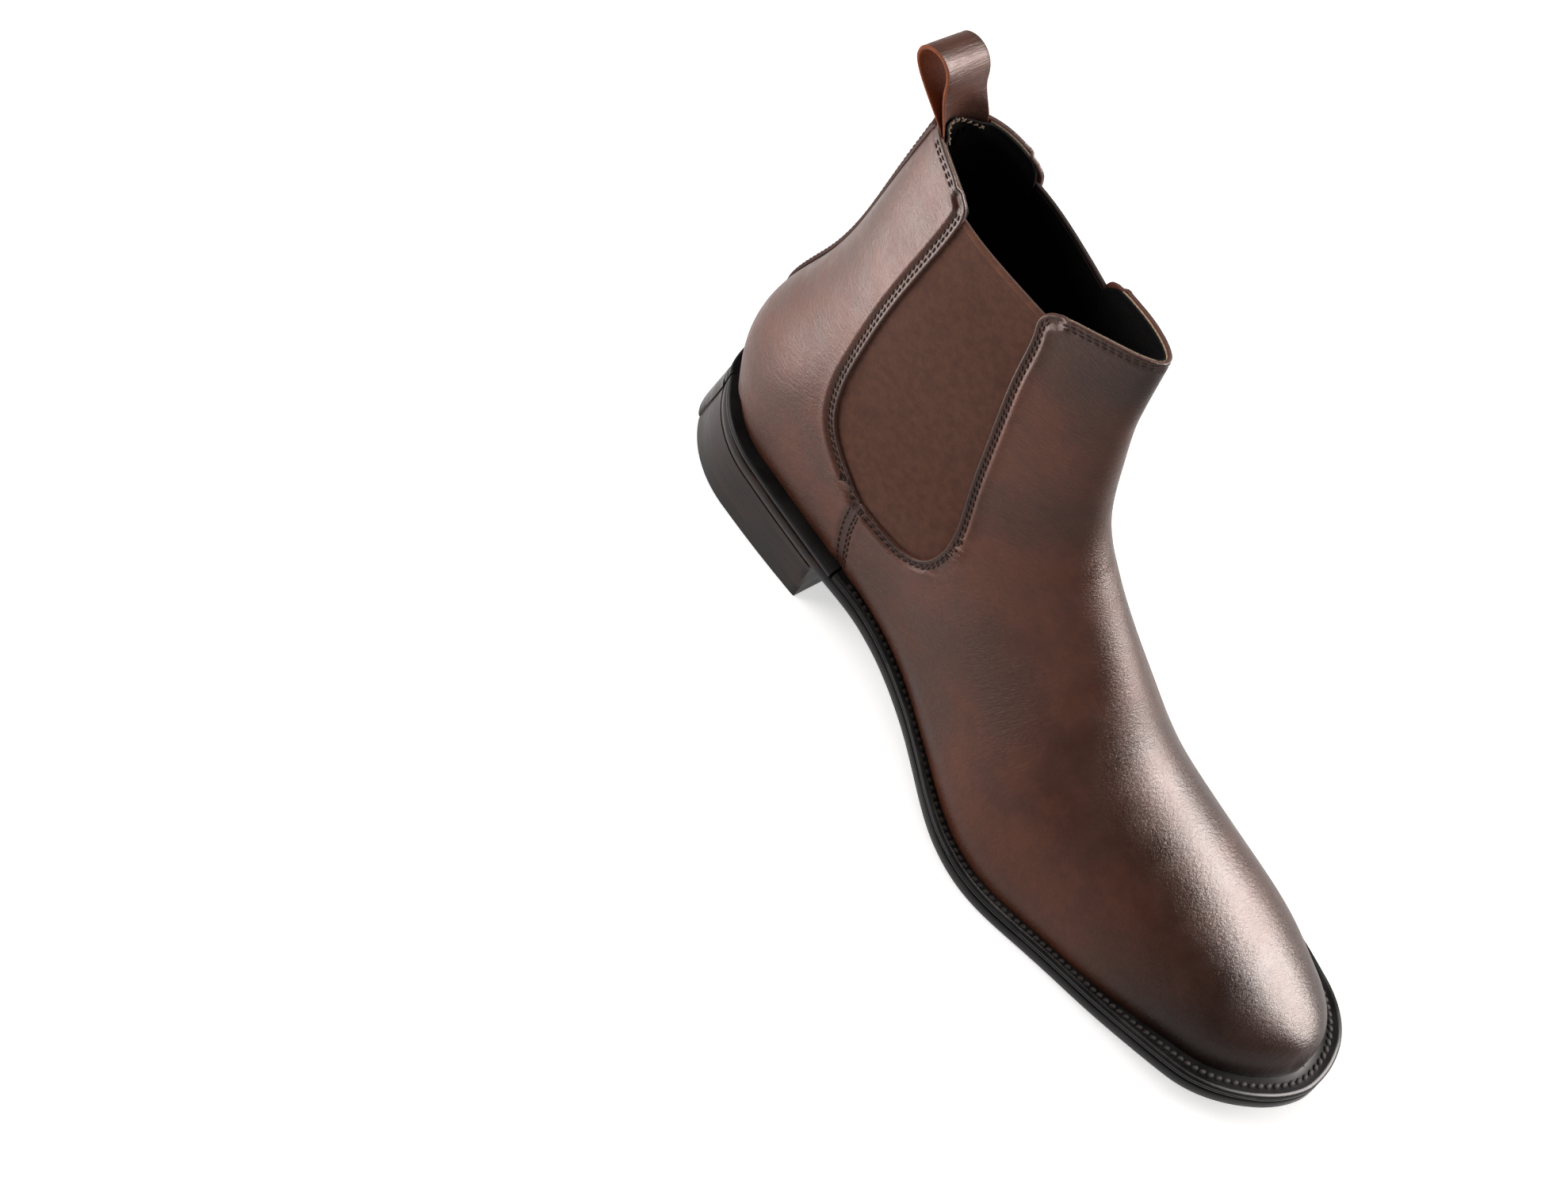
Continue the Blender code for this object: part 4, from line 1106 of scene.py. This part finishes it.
def gore_outline(side):
    """Closed chart outline of a gore: its seen edges with the laps under the leather."""
    rear = offset_line(curve_through(GORE_REAR, 1.2), GORE_LAP)
    front = offset_line(curve_through(GORE_FRONT, 1.2), -GORE_LAP)
    rear = rear[(rear[:, 1] > GORE_FOOT_Z) & (rear[:, 1] < GORE_TOP_Z)][::-1]
    front = front[(front[:, 0] > GORE_FOOT_X) & (front[:, 1] < GORE_TOP_Z)]
    top = curve_through(GORE_TOP, 1.2)[::-1]
    top = top[(top[:, 0] > rear[0, 0] + 0.6) & (top[:, 0] < front[-1, 0] - 0.6)]
    line = resample(np.vstack([rear, front, top, rear[:1]]), 1.2)[:-1]
    return to_chart(line[:, 0], line[:, 1], side)


def make_gore(side, label):
    outline = gore_outline(side)
    piece = panel('gore_' + label + '_cloth', outline, [ELASTIC_LOOK], spacing=2.0, depth=GORE_DEPTH,
                  thick=GORE_THICK, rim_steps=3, rows=(0.6, 1.4))
    finish_piece(piece, 'boot', 'elastic', 'gore_' + label)
    inside = panel('gore_' + label + '_inside', outline, [LINING_LOOK], spacing=3.0, depth=GORE_DEPTH + 0.3,
                   thick=GORE_THICK, inward=True, rim_steps=3)
    finish_piece(inside, 'boot', 'elastic')
    top = curve_through(GORE_TOP, 1.0)
    top = top[(top[:, 0] > SELVEDGE_ENDS[0]) & (top[:, 0] < SELVEDGE_ENDS[1])]
    upper = to_chart(top[:, 0], top[:, 1] + SELVEDGE_ABOVE, side)
    lower = to_chart(top[:, 0], top[:, 1] - SELVEDGE_BELOW, side)
    band = panel('gore_' + label + '_selvedge', joined(upper, lower[::-1]), [SELVEDGE_LOOKS[side]],
                 spacing=1.0, depth=1.75, thick=1.3, rim=0.5, lip=0.5)
    finish_piece(band, 'boot', 'elastic')


# ---- back strip
STRIP_EDGE = ((6.4, 186.4), (6.0, 155.0), (5.3, 115.0), (4.6, 85.0), (3.2, 66.0), (1.2, 58.0))
STRIP = 1.0
STRIP_GAP = 0.15
STRIP_ROW = 1.6
STRIP_GROOVE = 0.14


def back_points(y, z):
    """Places on the back of the last at distances y from the seam."""
    side = np.where(y < 0, LATERAL, MEDIAL)
    start = back_x(z)
    x = halving(start, start + 40.0, lambda x: half_width(x, z, side) < np.abs(y))
    return np.stack([x, y, z], -1)


def grid_normals(grid):
    return unit(np.cross(np.gradient(grid, axis=0), np.gradient(grid, axis=1)))


def make_back_strip():
    edge = curve_through(STRIP_EDGE, 1.2)
    across = np.sin(np.linspace(-math.pi / 2, math.pi / 2, 25))
    y = edge[:, :1] * across
    z = np.repeat(edge[:, 1:], len(across), axis=1)
    grid = back_points(y, z)
    normal = grid_normals(grid)
    normal *= -np.sign(normal[len(edge) // 2, len(across) // 2, 0])
    to_edge = edge[:, :1] - np.abs(y)
    height = STRIP_GAP + STRIP * np.clip(to_edge / 0.7, 0, 1) ** 0.5
    height = height - STRIP_GROOVE * bell(to_edge - STRIP_ROW, 0.4)
    height[-1] = height[0] = STRIP_GAP * 0.5
    points = (grid + normal * height[..., None]).reshape(-1, 3)
    rows, columns = y.shape
    index = np.arange(rows * columns).reshape(rows, columns)
    faces = np.stack([index[:-1, :-1], index[:-1, 1:], index[1:, 1:], index[1:, :-1]], -1).reshape(-1, 4)
    first = points[faces[0]]
    if np.cross(first[1] - first[0], first[3] - first[0]) @ normal[0, 0] < 0:
        faces = faces[:, ::-1]
    piece = new_object('back_strip_leather', points, faces, [STRIP_LOOK], to_edge.ravel())
    mark(piece)
    finish_piece(piece, 'boot', 'leather', 'back_strip')
    runs = []
    for side in (LATERAL, MEDIAL):
        line = edge[2:-6]
        spots = back_points(side * (line[:, 0] - STRIP_ROW), line[:, 1])
        column = 2 if side == LATERAL else -3
        up = gentle(normal[2:-6, column])
        spots = spots + up * (STRIP_GAP + STRIP - STRIP_GROOVE)
        runs.append(stitch_run(spots, up, STITCH_PITCH, STITCH_LENGTH, STITCH_RADIUS * 0.9, 0.0, 0.12))
    finish_piece(thread('back_strip_stitching', runs, THREAD_LOOK), 'boot', 'leather')


# ---- pull tab
TAB_X = 24.6
TAB_Z = 187.8
TAB_LENGTH = 27.5
TAB_LOOP = 22.0
TAB_LEAN = math.radians(26)
TAB_THICK = 1.5
TAB_SKIVED = 0.6
TAB_LEG = 8.0
TAB_STATIONS = 150
TAB_ACROSS = 15
TAB_ROUND = 0.4
TAB_SAG = 0.17


def tab_line():
    """Strap seen from the side, up the front leg and down the rear: places, outward side, thickness."""
    turn = np.linspace(0.25, 2 * math.pi - 0.25, 80)
    share = (1 - np.cos(turn)) / 2
    side = np.where(turn < math.pi, 1.0, -1.0)
    aside = TAB_LOOP / 2 * np.sin(turn) * share ** 0.8 + side * (TAB_SKIVED + 0.1) * (1 - share) ** 3
    along = TAB_LENGTH * share
    forward = aside * math.cos(TAB_LEAN) - along * math.sin(TAB_LEAN)
    up = aside * math.sin(TAB_LEAN) + along * math.cos(TAB_LEAN)
    loop = np.stack([TAB_X + forward, TAB_Z + 0.4 + up], 1)
    leg = np.linspace(TAB_LEG, 1.0, 9)
    front = np.stack([TAB_X + TAB_SKIVED - 0.08 * leg, TAB_Z - leg], 1)
    rear = front - (2 * TAB_SKIVED, 0)
    line = np.vstack([front, loop, rear[::-1]])
    run = lengths_along(line)
    dense = natural(run, line)(np.linspace(0, run[-1], TAB_STATIONS))
    for _ in range(6):
        dense[1:-1] = (dense[:-2] + dense[1:-1] * 2 + dense[2:]) / 4
    tangent = unit(np.gradient(dense, axis=0))
    thick = TAB_SKIVED + (TAB_THICK - TAB_SKIVED) * smooth((dense[:, 1] - TAB_Z + 1.0) / 9)
    return dense, np.stack([tangent[:, 1], -tangent[:, 0]], 1), thick


def tab_profile():
    """Strap seen end on: (across, share of the thickness) pairs, the smooth face first."""
    flat = np.linspace(-TAB_WIDTH / 2 + TAB_ROUND, TAB_WIDTH / 2 - TAB_ROUND, TAB_ACROSS)
    corner = math.pi * np.arange(1, 5) / 5
    profile = [(y, 0.0) for y in flat]
    profile += [(flat[-1] + TAB_ROUND * math.sin(t), -(1 - math.cos(t)) / 2) for t in corner]
    profile += [(y, -1.0) for y in flat[::-1]]
    profile += [(flat[0] - TAB_ROUND * math.sin(t), -(1 + math.cos(t)) / 2) for t in corner]
    return np.array(profile)


def wrapped_x(y, z):
    """How far forward the strap stands at y, where it follows the round back below and flattens above."""
    low = np.minimum(z, TAB_Z)
    near = back_points(y, low)[..., 0] - back_x(low)
    beyond = back_points(y + np.where(y < 0, -0.2, 0.2), low)[..., 0] - back_x(low)
    steep = np.abs(beyond - near) / 0.2
    near = near + 1.0 * (np.sqrt(1 + steep ** 2) - 1)
    return near * (1 - smooth((z - TAB_Z + 1) / 18))


def make_pull_tab():
    line, outward, thick = tab_line()
    profile = tab_profile()
    half = TAB_WIDTH / 2
    y = np.tile(profile[:, 0], (len(line), 1))
    groove = 0.10 * bell(half - np.abs(y) - 1.7, 0.4) * (profile[:, 1] == 0)
    depth = profile[:, 1] * thick[:, None] - groove
    x = line[:, :1] + outward[:, :1] * depth
    z = line[:, 1:] + outward[:, 1:] * depth
    sag = TAB_SAG * (y + half) * smooth((z - TAB_Z) / 18)
    points = np.stack([x + wrapped_x(y, z), y, z - sag], 2).reshape(-1, 3)
    ring = len(profile)
    faces, looks = [], []
    for i in range(len(line) - 1):
        for k in range(ring):
            a, b = i * ring + k, i * ring + (k + 1) % ring
            faces.append((a, a + ring, b + ring, b))
            looks.append(0 if k < TAB_ACROSS - 1 else 1)
    piece = new_object('pull_tab_strap', points, faces, [TAB_LOOK, SUEDE_LOOK],
                       (half - np.abs(y)).ravel(), looks)
    mark(piece)
    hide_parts('pull_tab', 'pull_tab_anchor')
    bend_at_tab(piece)
    make_zigzag()


ZIGZAG_STITCH = (1.9, 1.9, 0.26)
ZIGZAG_SLANT = 0.75
ZIGZAG_DEPTH = 4.15


def make_zigzag():
    """Pale zigzag stitching across the foot of the tab, over the top edge of the lining."""
    y = np.linspace(-10.5, 10.5, 40)
    z = np.full(40, TAB_Z - 1.0)
    outside = back_points(y, z)
    tangent = np.gradient(outside, axis=0)
    inward = unit(np.stack([tangent[:, 1], -tangent[:, 0], tangent[:, 2] * 0], 1))
    line = outside + inward * ZIGZAG_DEPTH
    facing = inward + np.array((0.0, 0.0, 0.5))
    runs = [stitch_run(line, facing, *ZIGZAG_STITCH, ZIGZAG_SLANT, 0.1)]
    runs.append(stitch_run(line[1:] + (0.0, 0.45, 0.0), facing[1:], *ZIGZAG_STITCH, -ZIGZAG_SLANT, 0.1))
    finish_piece(thread('tab_zigzag_stitching', runs, CREAM_LOOK), 'boot', 'tape')


def bend_at_tab(piece):
    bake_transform(piece)


# ---- welt, sole and heel
def seat_z(x):
    return feather_z(np.clip(np.asarray(x, float), HEEL_CORNER_X, TOE_X))


WAIST_START = (75, 30)
WAIST_END = (175, -40)
FORE_SPAN = (120, 50)
TIP_SPAN = (225, 70)


def sole_margin(x):
    """Forepart margin, drawn in at the waist and widest round the toe."""
    waist = over(x, WAIST_START) * over(x, WAIST_END)
    ball = HEEL_MARGIN + (WELT_MARGIN - HEEL_MARGIN) * over(x, FORE_SPAN)
    return ball + (WAIST_MARGIN - HEEL_MARGIN) * waist + (TOE_MARGIN - WELT_MARGIN) * over(x, TIP_SPAN)


def round_foot(x):
    """Plan of the feather edge at places x: forward on the lateral side and back on the medial side."""
    z = feather_z(x)
    out, back = (np.stack([x, centre_y(x) + side * half_width(x, z, side)], 1) for side in (LATERAL, MEDIAL))
    return np.vstack([out, back[::-1]])


def plan_line(start, end, pitch=1.2):
    """Plan of the feather edge: lateral side from start to the toe or heel and back on the medial side."""
    x = start + (end - start) * (1 - (1 - np.linspace(0, 1, 160)) ** 2)
    return resample(round_foot(x), pitch)


def plan_loop(pitch=1.2):
    turn = np.linspace(0, math.pi, 300)
    x = HEEL_CORNER_X + (TOE_X - HEEL_CORNER_X) * (1 - np.cos(turn)) / 2
    line = round_foot(x)
    return resample(np.vstack([line, line[:1]]), pitch)[:-1]


def plan_normals(line, closed):
    if closed:
        tangent = np.roll(line, -1, axis=0) - np.roll(line, 1, axis=0)
    else:
        tangent = np.gradient(line, axis=0)
    tangent = unit(tangent)
    normal = np.stack([tangent[:, 1], -tangent[:, 0]], 1)
    for _ in range(4):
        before, after = np.roll(normal, 1, axis=0), np.roll(normal, -1, axis=0)
        if not closed:
            before[0], after[-1] = normal[0], normal[-1]
        normal = (before + normal * 2 + after) / 4
    return unit(normal)


def ring_faces(count, rings, closed, wrap):
    """Faces between rings of points; closed rings run round, and wrap joins the last to the first."""
    faces = []
    last = count if closed else count - 1
    pairs = [(r, r + 1) for r in range(rings - 1)] + ([(rings - 1, 0)] if wrap else [])
    for low, high in pairs:
        for i in range(last):
            j = (i + 1) % count
            faces.append((low * count + i, low * count + j, high * count + j, high * count + i))
    return faces


def edge_band(name, line, margin, profile, looks):
    """Welt or rand: a profile of (outward, height) pairs carried along a plan line.

    Outward is millimetres from the margin; above zero it is millimetres inside the line itself.
    """
    insets = [(-out if out <= 0 else margin + out, height) for out, height in profile]
    rings = seat_rings(line, plan_normals(line, False), margin, insets, -GAP)
    points = np.vstack(rings)
    count = len(line)
    faces = ring_faces(count, len(rings), False, True)
    faces.append(tuple(r * count for r in range(len(rings))))
    faces.append(tuple(r * count + count - 1 for r in range(len(rings)))[::-1])
    return mark(repaired(new_object(name, points, faces, looks)))


def repaired(piece):
    """Face normals turned outward."""
    shape = bmesh.new()
    shape.from_mesh(piece.data)
    bmesh.ops.recalc_face_normals(shape, faces=shape.faces)
    shape.to_mesh(piece.data)
    shape.free()
    piece.data.shade_smooth()
    piece.data.set_sharp_from_angle(angle=math.radians(50))
    return piece


def seat_rings(line, normal, margin, profile, base):
    """Rings of (inset, height) pairs round a plan line, following the seat of the last along it."""
    rings = []
    for inset, height in profile:
        place = line + normal * np.reshape(margin - inset, (-1, 1))
        rings.append(np.column_stack([place, seat_z(place[:, 0]) + base + height]))
    return rings


def slab(name, rings, looks, cap_spacing=4.0):
    """Closed solid from plan rings of (x, y, z), its two ends filled."""
    count = len(rings[0])
    points = [np.asarray(ring, float) for ring in rings]
    faces = ring_faces(count, len(rings), True, False)
    total = count * len(rings)
    for number, ring in ((0, rings[0]), (len(rings) - 1, rings[-1])):
        outline = ring[:, :2]
        inner = hex_grid(outline, cap_spacing)
        near = distance_from(np.column_stack([inner, np.zeros(len(inner))]),
                             tree_of(np.column_stack([outline, np.zeros(count)])))
        inner = inner[near > cap_spacing * 0.5]
        flat, triangles, border = triangulate(outline, inner)
        back = {int(new): number * count + old for old, new in enumerate(border)}
        extra = [i for i in range(len(flat)) if i not in back]
        height = plane_height(ring, flat[extra])
        points.append(np.column_stack([flat[extra], height]))
        for step, i in enumerate(extra):
            back[i] = total + step
        total += len(extra)
        faces += [tuple(back[int(i)] for i in triangle) for triangle in triangles]
    return mark(repaired(new_object(name, np.vstack(points), faces, looks)))


def plane_height(ring, flat):
    """Height of a cap, which is level across the foot and follows its ring along it."""
    order = np.argsort(ring[:, 0])
    return np.interp(flat[:, 0], ring[order, 0], ring[order, 2])


JOINT_X = 88.0
WELT_PROFILE = ((1.8, 0.0), (0.2, -0.2), (-2.3, -0.45), (-1.7, -0.02), (-1.0, 0.0), (-0.35, -0.25),
                (0.0, -0.8), (0.0, -1.6), (-0.3, -1.85), (0.0, -2.1), (0.0, -2.6), (-0.25, -3.05),
                (-0.7, -3.2), (1.8, -3.2))
RAND_PROFILE = ((1.8, 0.0), (0.2, 0.0), (-1.1, -0.05), (-0.4, -0.3), (0.0, -0.9), (0.0, -2.3),
                (-0.3, -2.9), (-0.8, -3.2), (1.8, -3.2))
WELT_STITCH = (2.7, 2.5, 0.85)


def make_welt():
    line = plan_line(JOINT_X, TOE_X)
    welt = edge_band('welt_strip', line, sole_margin(line[:, 0]), WELT_PROFILE, [EDGE_LOOK])
    finish_piece(welt, 'boot', 'sole', 'welt')
    rear = plan_line(JOINT_X - 1.0, HEEL_CORNER_X)[::-1]
    rand = edge_band('heel_rand_strip', rear, np.full(len(rear), HEEL_MARGIN), RAND_PROFILE, [EDGE_LOOK])
    finish_piece(rand, 'boot', 'heel', 'heel_rand')
    normal = plan_normals(line, False)
    margin = sole_margin(line[:, 0])
    place = line + normal * (margin * 0.5 - 0.5)[:, None]
    spots = np.column_stack([place, seat_z(place[:, 0]) - GAP - 0.35])
    up = np.tile((0.0, 0.0, 1.0), (len(spots), 1))
    run = stitch_run(spots[4:-4], up[4:-4], *WELT_STITCH, 0.5, 0.1)
    finish_piece(thread('welt_stitching', [run], WELT_THREAD_LOOK), 'boot', 'sole')


SOLE_PROFILE = ((12.0, 0.0), (0.7, 0.0), (0.2, -0.3), (0.0, -0.8), (0.0, -4.2), (0.3, -4.9), (0.9, -5.3),
                (3.4, -5.3), (3.9, -4.95), (4.4, -5.3), (9.0, -5.3))


FACES_DOWN = -0.8


def make_outsole():
    """Outsole, with the look of the heel over the heel and its own look underneath."""
    line = plan_loop()
    normal = plan_normals(line, True)
    rings = seat_rings(line, normal, sole_margin(line[:, 0]), SOLE_PROFILE, -2 * GAP - WELT)
    piece = slab('outsole_leather', rings, [EDGE_LOOK, HEEL_LOOK, SOLE_LOOK])
    for face in piece.data.polygons:
        if face.normal.z < FACES_DOWN:
            face.material_index = 2
        elif face.center.x < (BREAST_X + 2 - MIDDLE_X) * MM:
            face.material_index = 1
    finish_piece(piece, 'boot', 'sole', 'outsole')


BREAST_X = 80.0
HEEL_RAKE = 0.048
HEEL_TAPER = 0.035
HEEL_HIGH = 26.0
HEEL_POINTS = 200
HEEL_CORNER = ((1.2, 0.0), (0.03, 0.0), (0.0, 0.03), (0.0, 0.08))
HEEL_LEVELS = (0.0, 6.0, 12.0, 18.0)
HEEL_NAMES = ('heel_top_piece', 'heel_lift_1', 'heel_lift_2', 'heel_lift_3')


def heel_line(z):
    """Plan outline of the heel at a height: flush with the sole above, longer and narrower at the ground."""
    below = 1 - z / HEEL_HIGH
    line = plan_line(BREAST_X, HEEL_CORNER_X)[::-1]
    edge = line + plan_normals(line, False) * HEEL_MARGIN
    middle = edge[:, 1].mean()
    x = BREAST_X + (edge[:, 0] - BREAST_X) * (1 + HEEL_RAKE * below)
    y = middle + (edge[:, 1] - middle) * (1 - HEEL_TAPER * below)
    x[0] = x[-1] = BREAST_X
    loop = np.column_stack([x, y])
    loop = np.vstack([loop, loop[:1]])
    run = lengths_along(loop)
    return read_along(np.linspace(0, run[-1], HEEL_POINTS + 1)[:-1], run, loop)


def make_heel():
    under_sole = SOLE + WELT + 2 * GAP + 0.05
    tops = list(np.array(HEEL_LEVELS[1:]) - 0.01) + [None]
    for name, low, top in zip(HEEL_NAMES, HEEL_LEVELS, tops):
        base = heel_line(low)
        normal = plan_normals(base, True)
        grown = heel_line(low + HEEL_LEVELS[1])
        high = seat_z(grown[:, 0]) - under_sole if top is None else np.full(len(grown), top)
        rings = []
        for inset, rise in HEEL_CORNER:
            rings.append(np.column_stack([base - normal * inset, np.full(len(base), low + rise)]))
        for inset, rise in HEEL_CORNER[::-1]:
            rings.append(np.column_stack([grown - normal * inset, high - rise]))
        look = RUBBER_LOOK if low == 0.0 else HEEL_LOOK
        piece = slab(name + '_shape', rings, [look])
        finish_piece(piece, 'boot', 'top_piece' if low == 0.0 else 'heel', name)


SOCK_PROFILE = ((6.8, 0.1), (6.6, 0.6), (7.0, SOCK), (12.0, SOCK + 0.05))


def make_sock():
    line = plan_loop(2.5)
    rings = seat_rings(line, plan_normals(line, True), 0.0, SOCK_PROFILE, 0.0)
    finish_piece(slab('sock_lining_cloth', rings, [LINING_LOOK]), 'boot', 'lining', 'sock_lining')


def dress_cad_nodes():
    """Inner CAD pieces that stay get the material that suits them."""
    looks = {'insole_board': BOARD_LOOK, 'cork_filler': CORK_LOOK, 'shank': STEEL_LOOK,
             'toe_puff': STIFF_LOOK, 'heel_counter': STIFF_LOOK}
    for name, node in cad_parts.items():
        if name in looks:
            node.data.materials.clear()
            node.data.materials.append(looks[name])


# ---- room, light and camera
FLOOR_RADIUS = 6000.0
FLOOR_SIDES = 24
FLOOR_GLOW = 0.56
ROOM_LIGHT = 0.12
WHITE = colour(1.0, 1.0, 1.0)


def make_floor():
    n = Nodes('pale_floor')
    grain = n.noise(n.place(), 3.0, 2.0)
    n.set(Base_Color=n.mix(grain, colour(0.84, 0.84, 0.84), colour(0.86, 0.86, 0.86)), Roughness=0.9,
          Specular_IOR_Level=0.1, Emission_Color=WHITE, Emission_Strength=FLOOR_GLOW)
    points = [(MIDDLE_X, 0.0, 0.0)]
    for k in range(FLOOR_SIDES):
        turn = 2 * math.pi * k / FLOOR_SIDES
        points.append((MIDDLE_X + FLOOR_RADIUS * math.cos(turn), FLOOR_RADIUS * math.sin(turn), 0.0))
    faces = [(0, k + 1, (k + 1) % FLOOR_SIDES + 1) for k in range(FLOOR_SIDES)]
    floor = new_object('floor', np.array(points), faces, [n.material])


# place, aim, size in metres, watts, tint, and the kinds of rays that do not see each light
LIGHTS = {
    'overhead': ((0.0, 0.0, 1.7), (0.0, 0.0, 0.0), (2.4, 2.4), 16.0, (1.0, 1.0, 1.0), ('glossy',)),
    'medial_window': ((0.60, 0.70, 1.08), (0.08, 0.0, 0.06), (1.3, 1.6), 370.0, (1.0, 0.95, 0.92),
                      ('diffuse',)),
    'heel_side': ((-1.0, -0.60, 0.40), (-0.12, 0.0, 0.10), (0.8, 0.8), 13.0, (1.0, 0.94, 0.92), ()),
    'medial_fill': ((0.85, 1.15, 0.50), (0.0, 0.0, 0.10), (1.0, 1.0), 13.0, (1.0, 0.90, 0.80), ()),
    'low_panel': ((-0.30, -0.26, 0.02), (-0.30, -0.26, 1.0), (0.30, 0.34), 5.0, (1.0, 0.88, 0.84),
                  ('diffuse', 'camera'))}


def soft_light(name, place, aim, size, energy, tint, unseen_by):
    lamp = bpy.data.lights.new(name, 'AREA')
    lamp.shape = 'RECTANGLE'
    lamp.size, lamp.size_y = size
    lamp.energy = energy
    lamp.color = tint
    item = bpy.data.objects.new(name, lamp)
    bpy.context.scene.collection.objects.link(item)
    item.location = place
    item.rotation_euler = (Vector(aim) - Vector(place)).to_track_quat('-Z', 'Y').to_euler()
    for rays in unseen_by:
        setattr(item, 'visible_' + rays, False)


def make_lights():
    world = bpy.data.worlds.new('studio')
    bpy.context.scene.world = world
    world.use_nodes = True
    backdrop = world.node_tree.nodes['Background']
    backdrop.inputs['Color'].default_value = WHITE
    backdrop.inputs['Strength'].default_value = ROOM_LIGHT
    for name, facts in LIGHTS.items():
        soft_light(name, *facts)
    bpy.context.scene.view_settings.view_transform = 'Standard'


CAMERA_PLACE = (509.9, -889.6, 1447.1)
CAMERA_FORWARD = (-0.24857, 0.49267, -0.83396)
CAMERA_UP = (-0.78741, 0.39863, 0.47018)
CAMERA_LENS = 123.0


def make_camera():
    data = bpy.data.cameras.new('camera')
    data.lens = CAMERA_LENS
    data.sensor_width = 36.0
    data.clip_end = 50.0
    item = bpy.data.objects.new('camera', data)
    bpy.context.scene.collection.objects.link(item)
    forward = Vector(CAMERA_FORWARD).normalized()
    right = forward.cross(Vector(CAMERA_UP)).normalized()
    up = right.cross(forward)
    turn = Matrix((right, up, -forward)).transposed()
    item.matrix_world = Matrix.Translation(in_metres(CAMERA_PLACE)) @ turn.to_4x4()
    bpy.context.scene.camera = item


make_upper()
make_gore(LATERAL, 'lateral')
make_gore(MEDIAL, 'medial')
make_back_strip()
make_pull_tab()
make_welt()
make_outsole()
make_heel()
make_sock()
dress_cad_nodes()
make_floor()
make_lights()
make_camera()
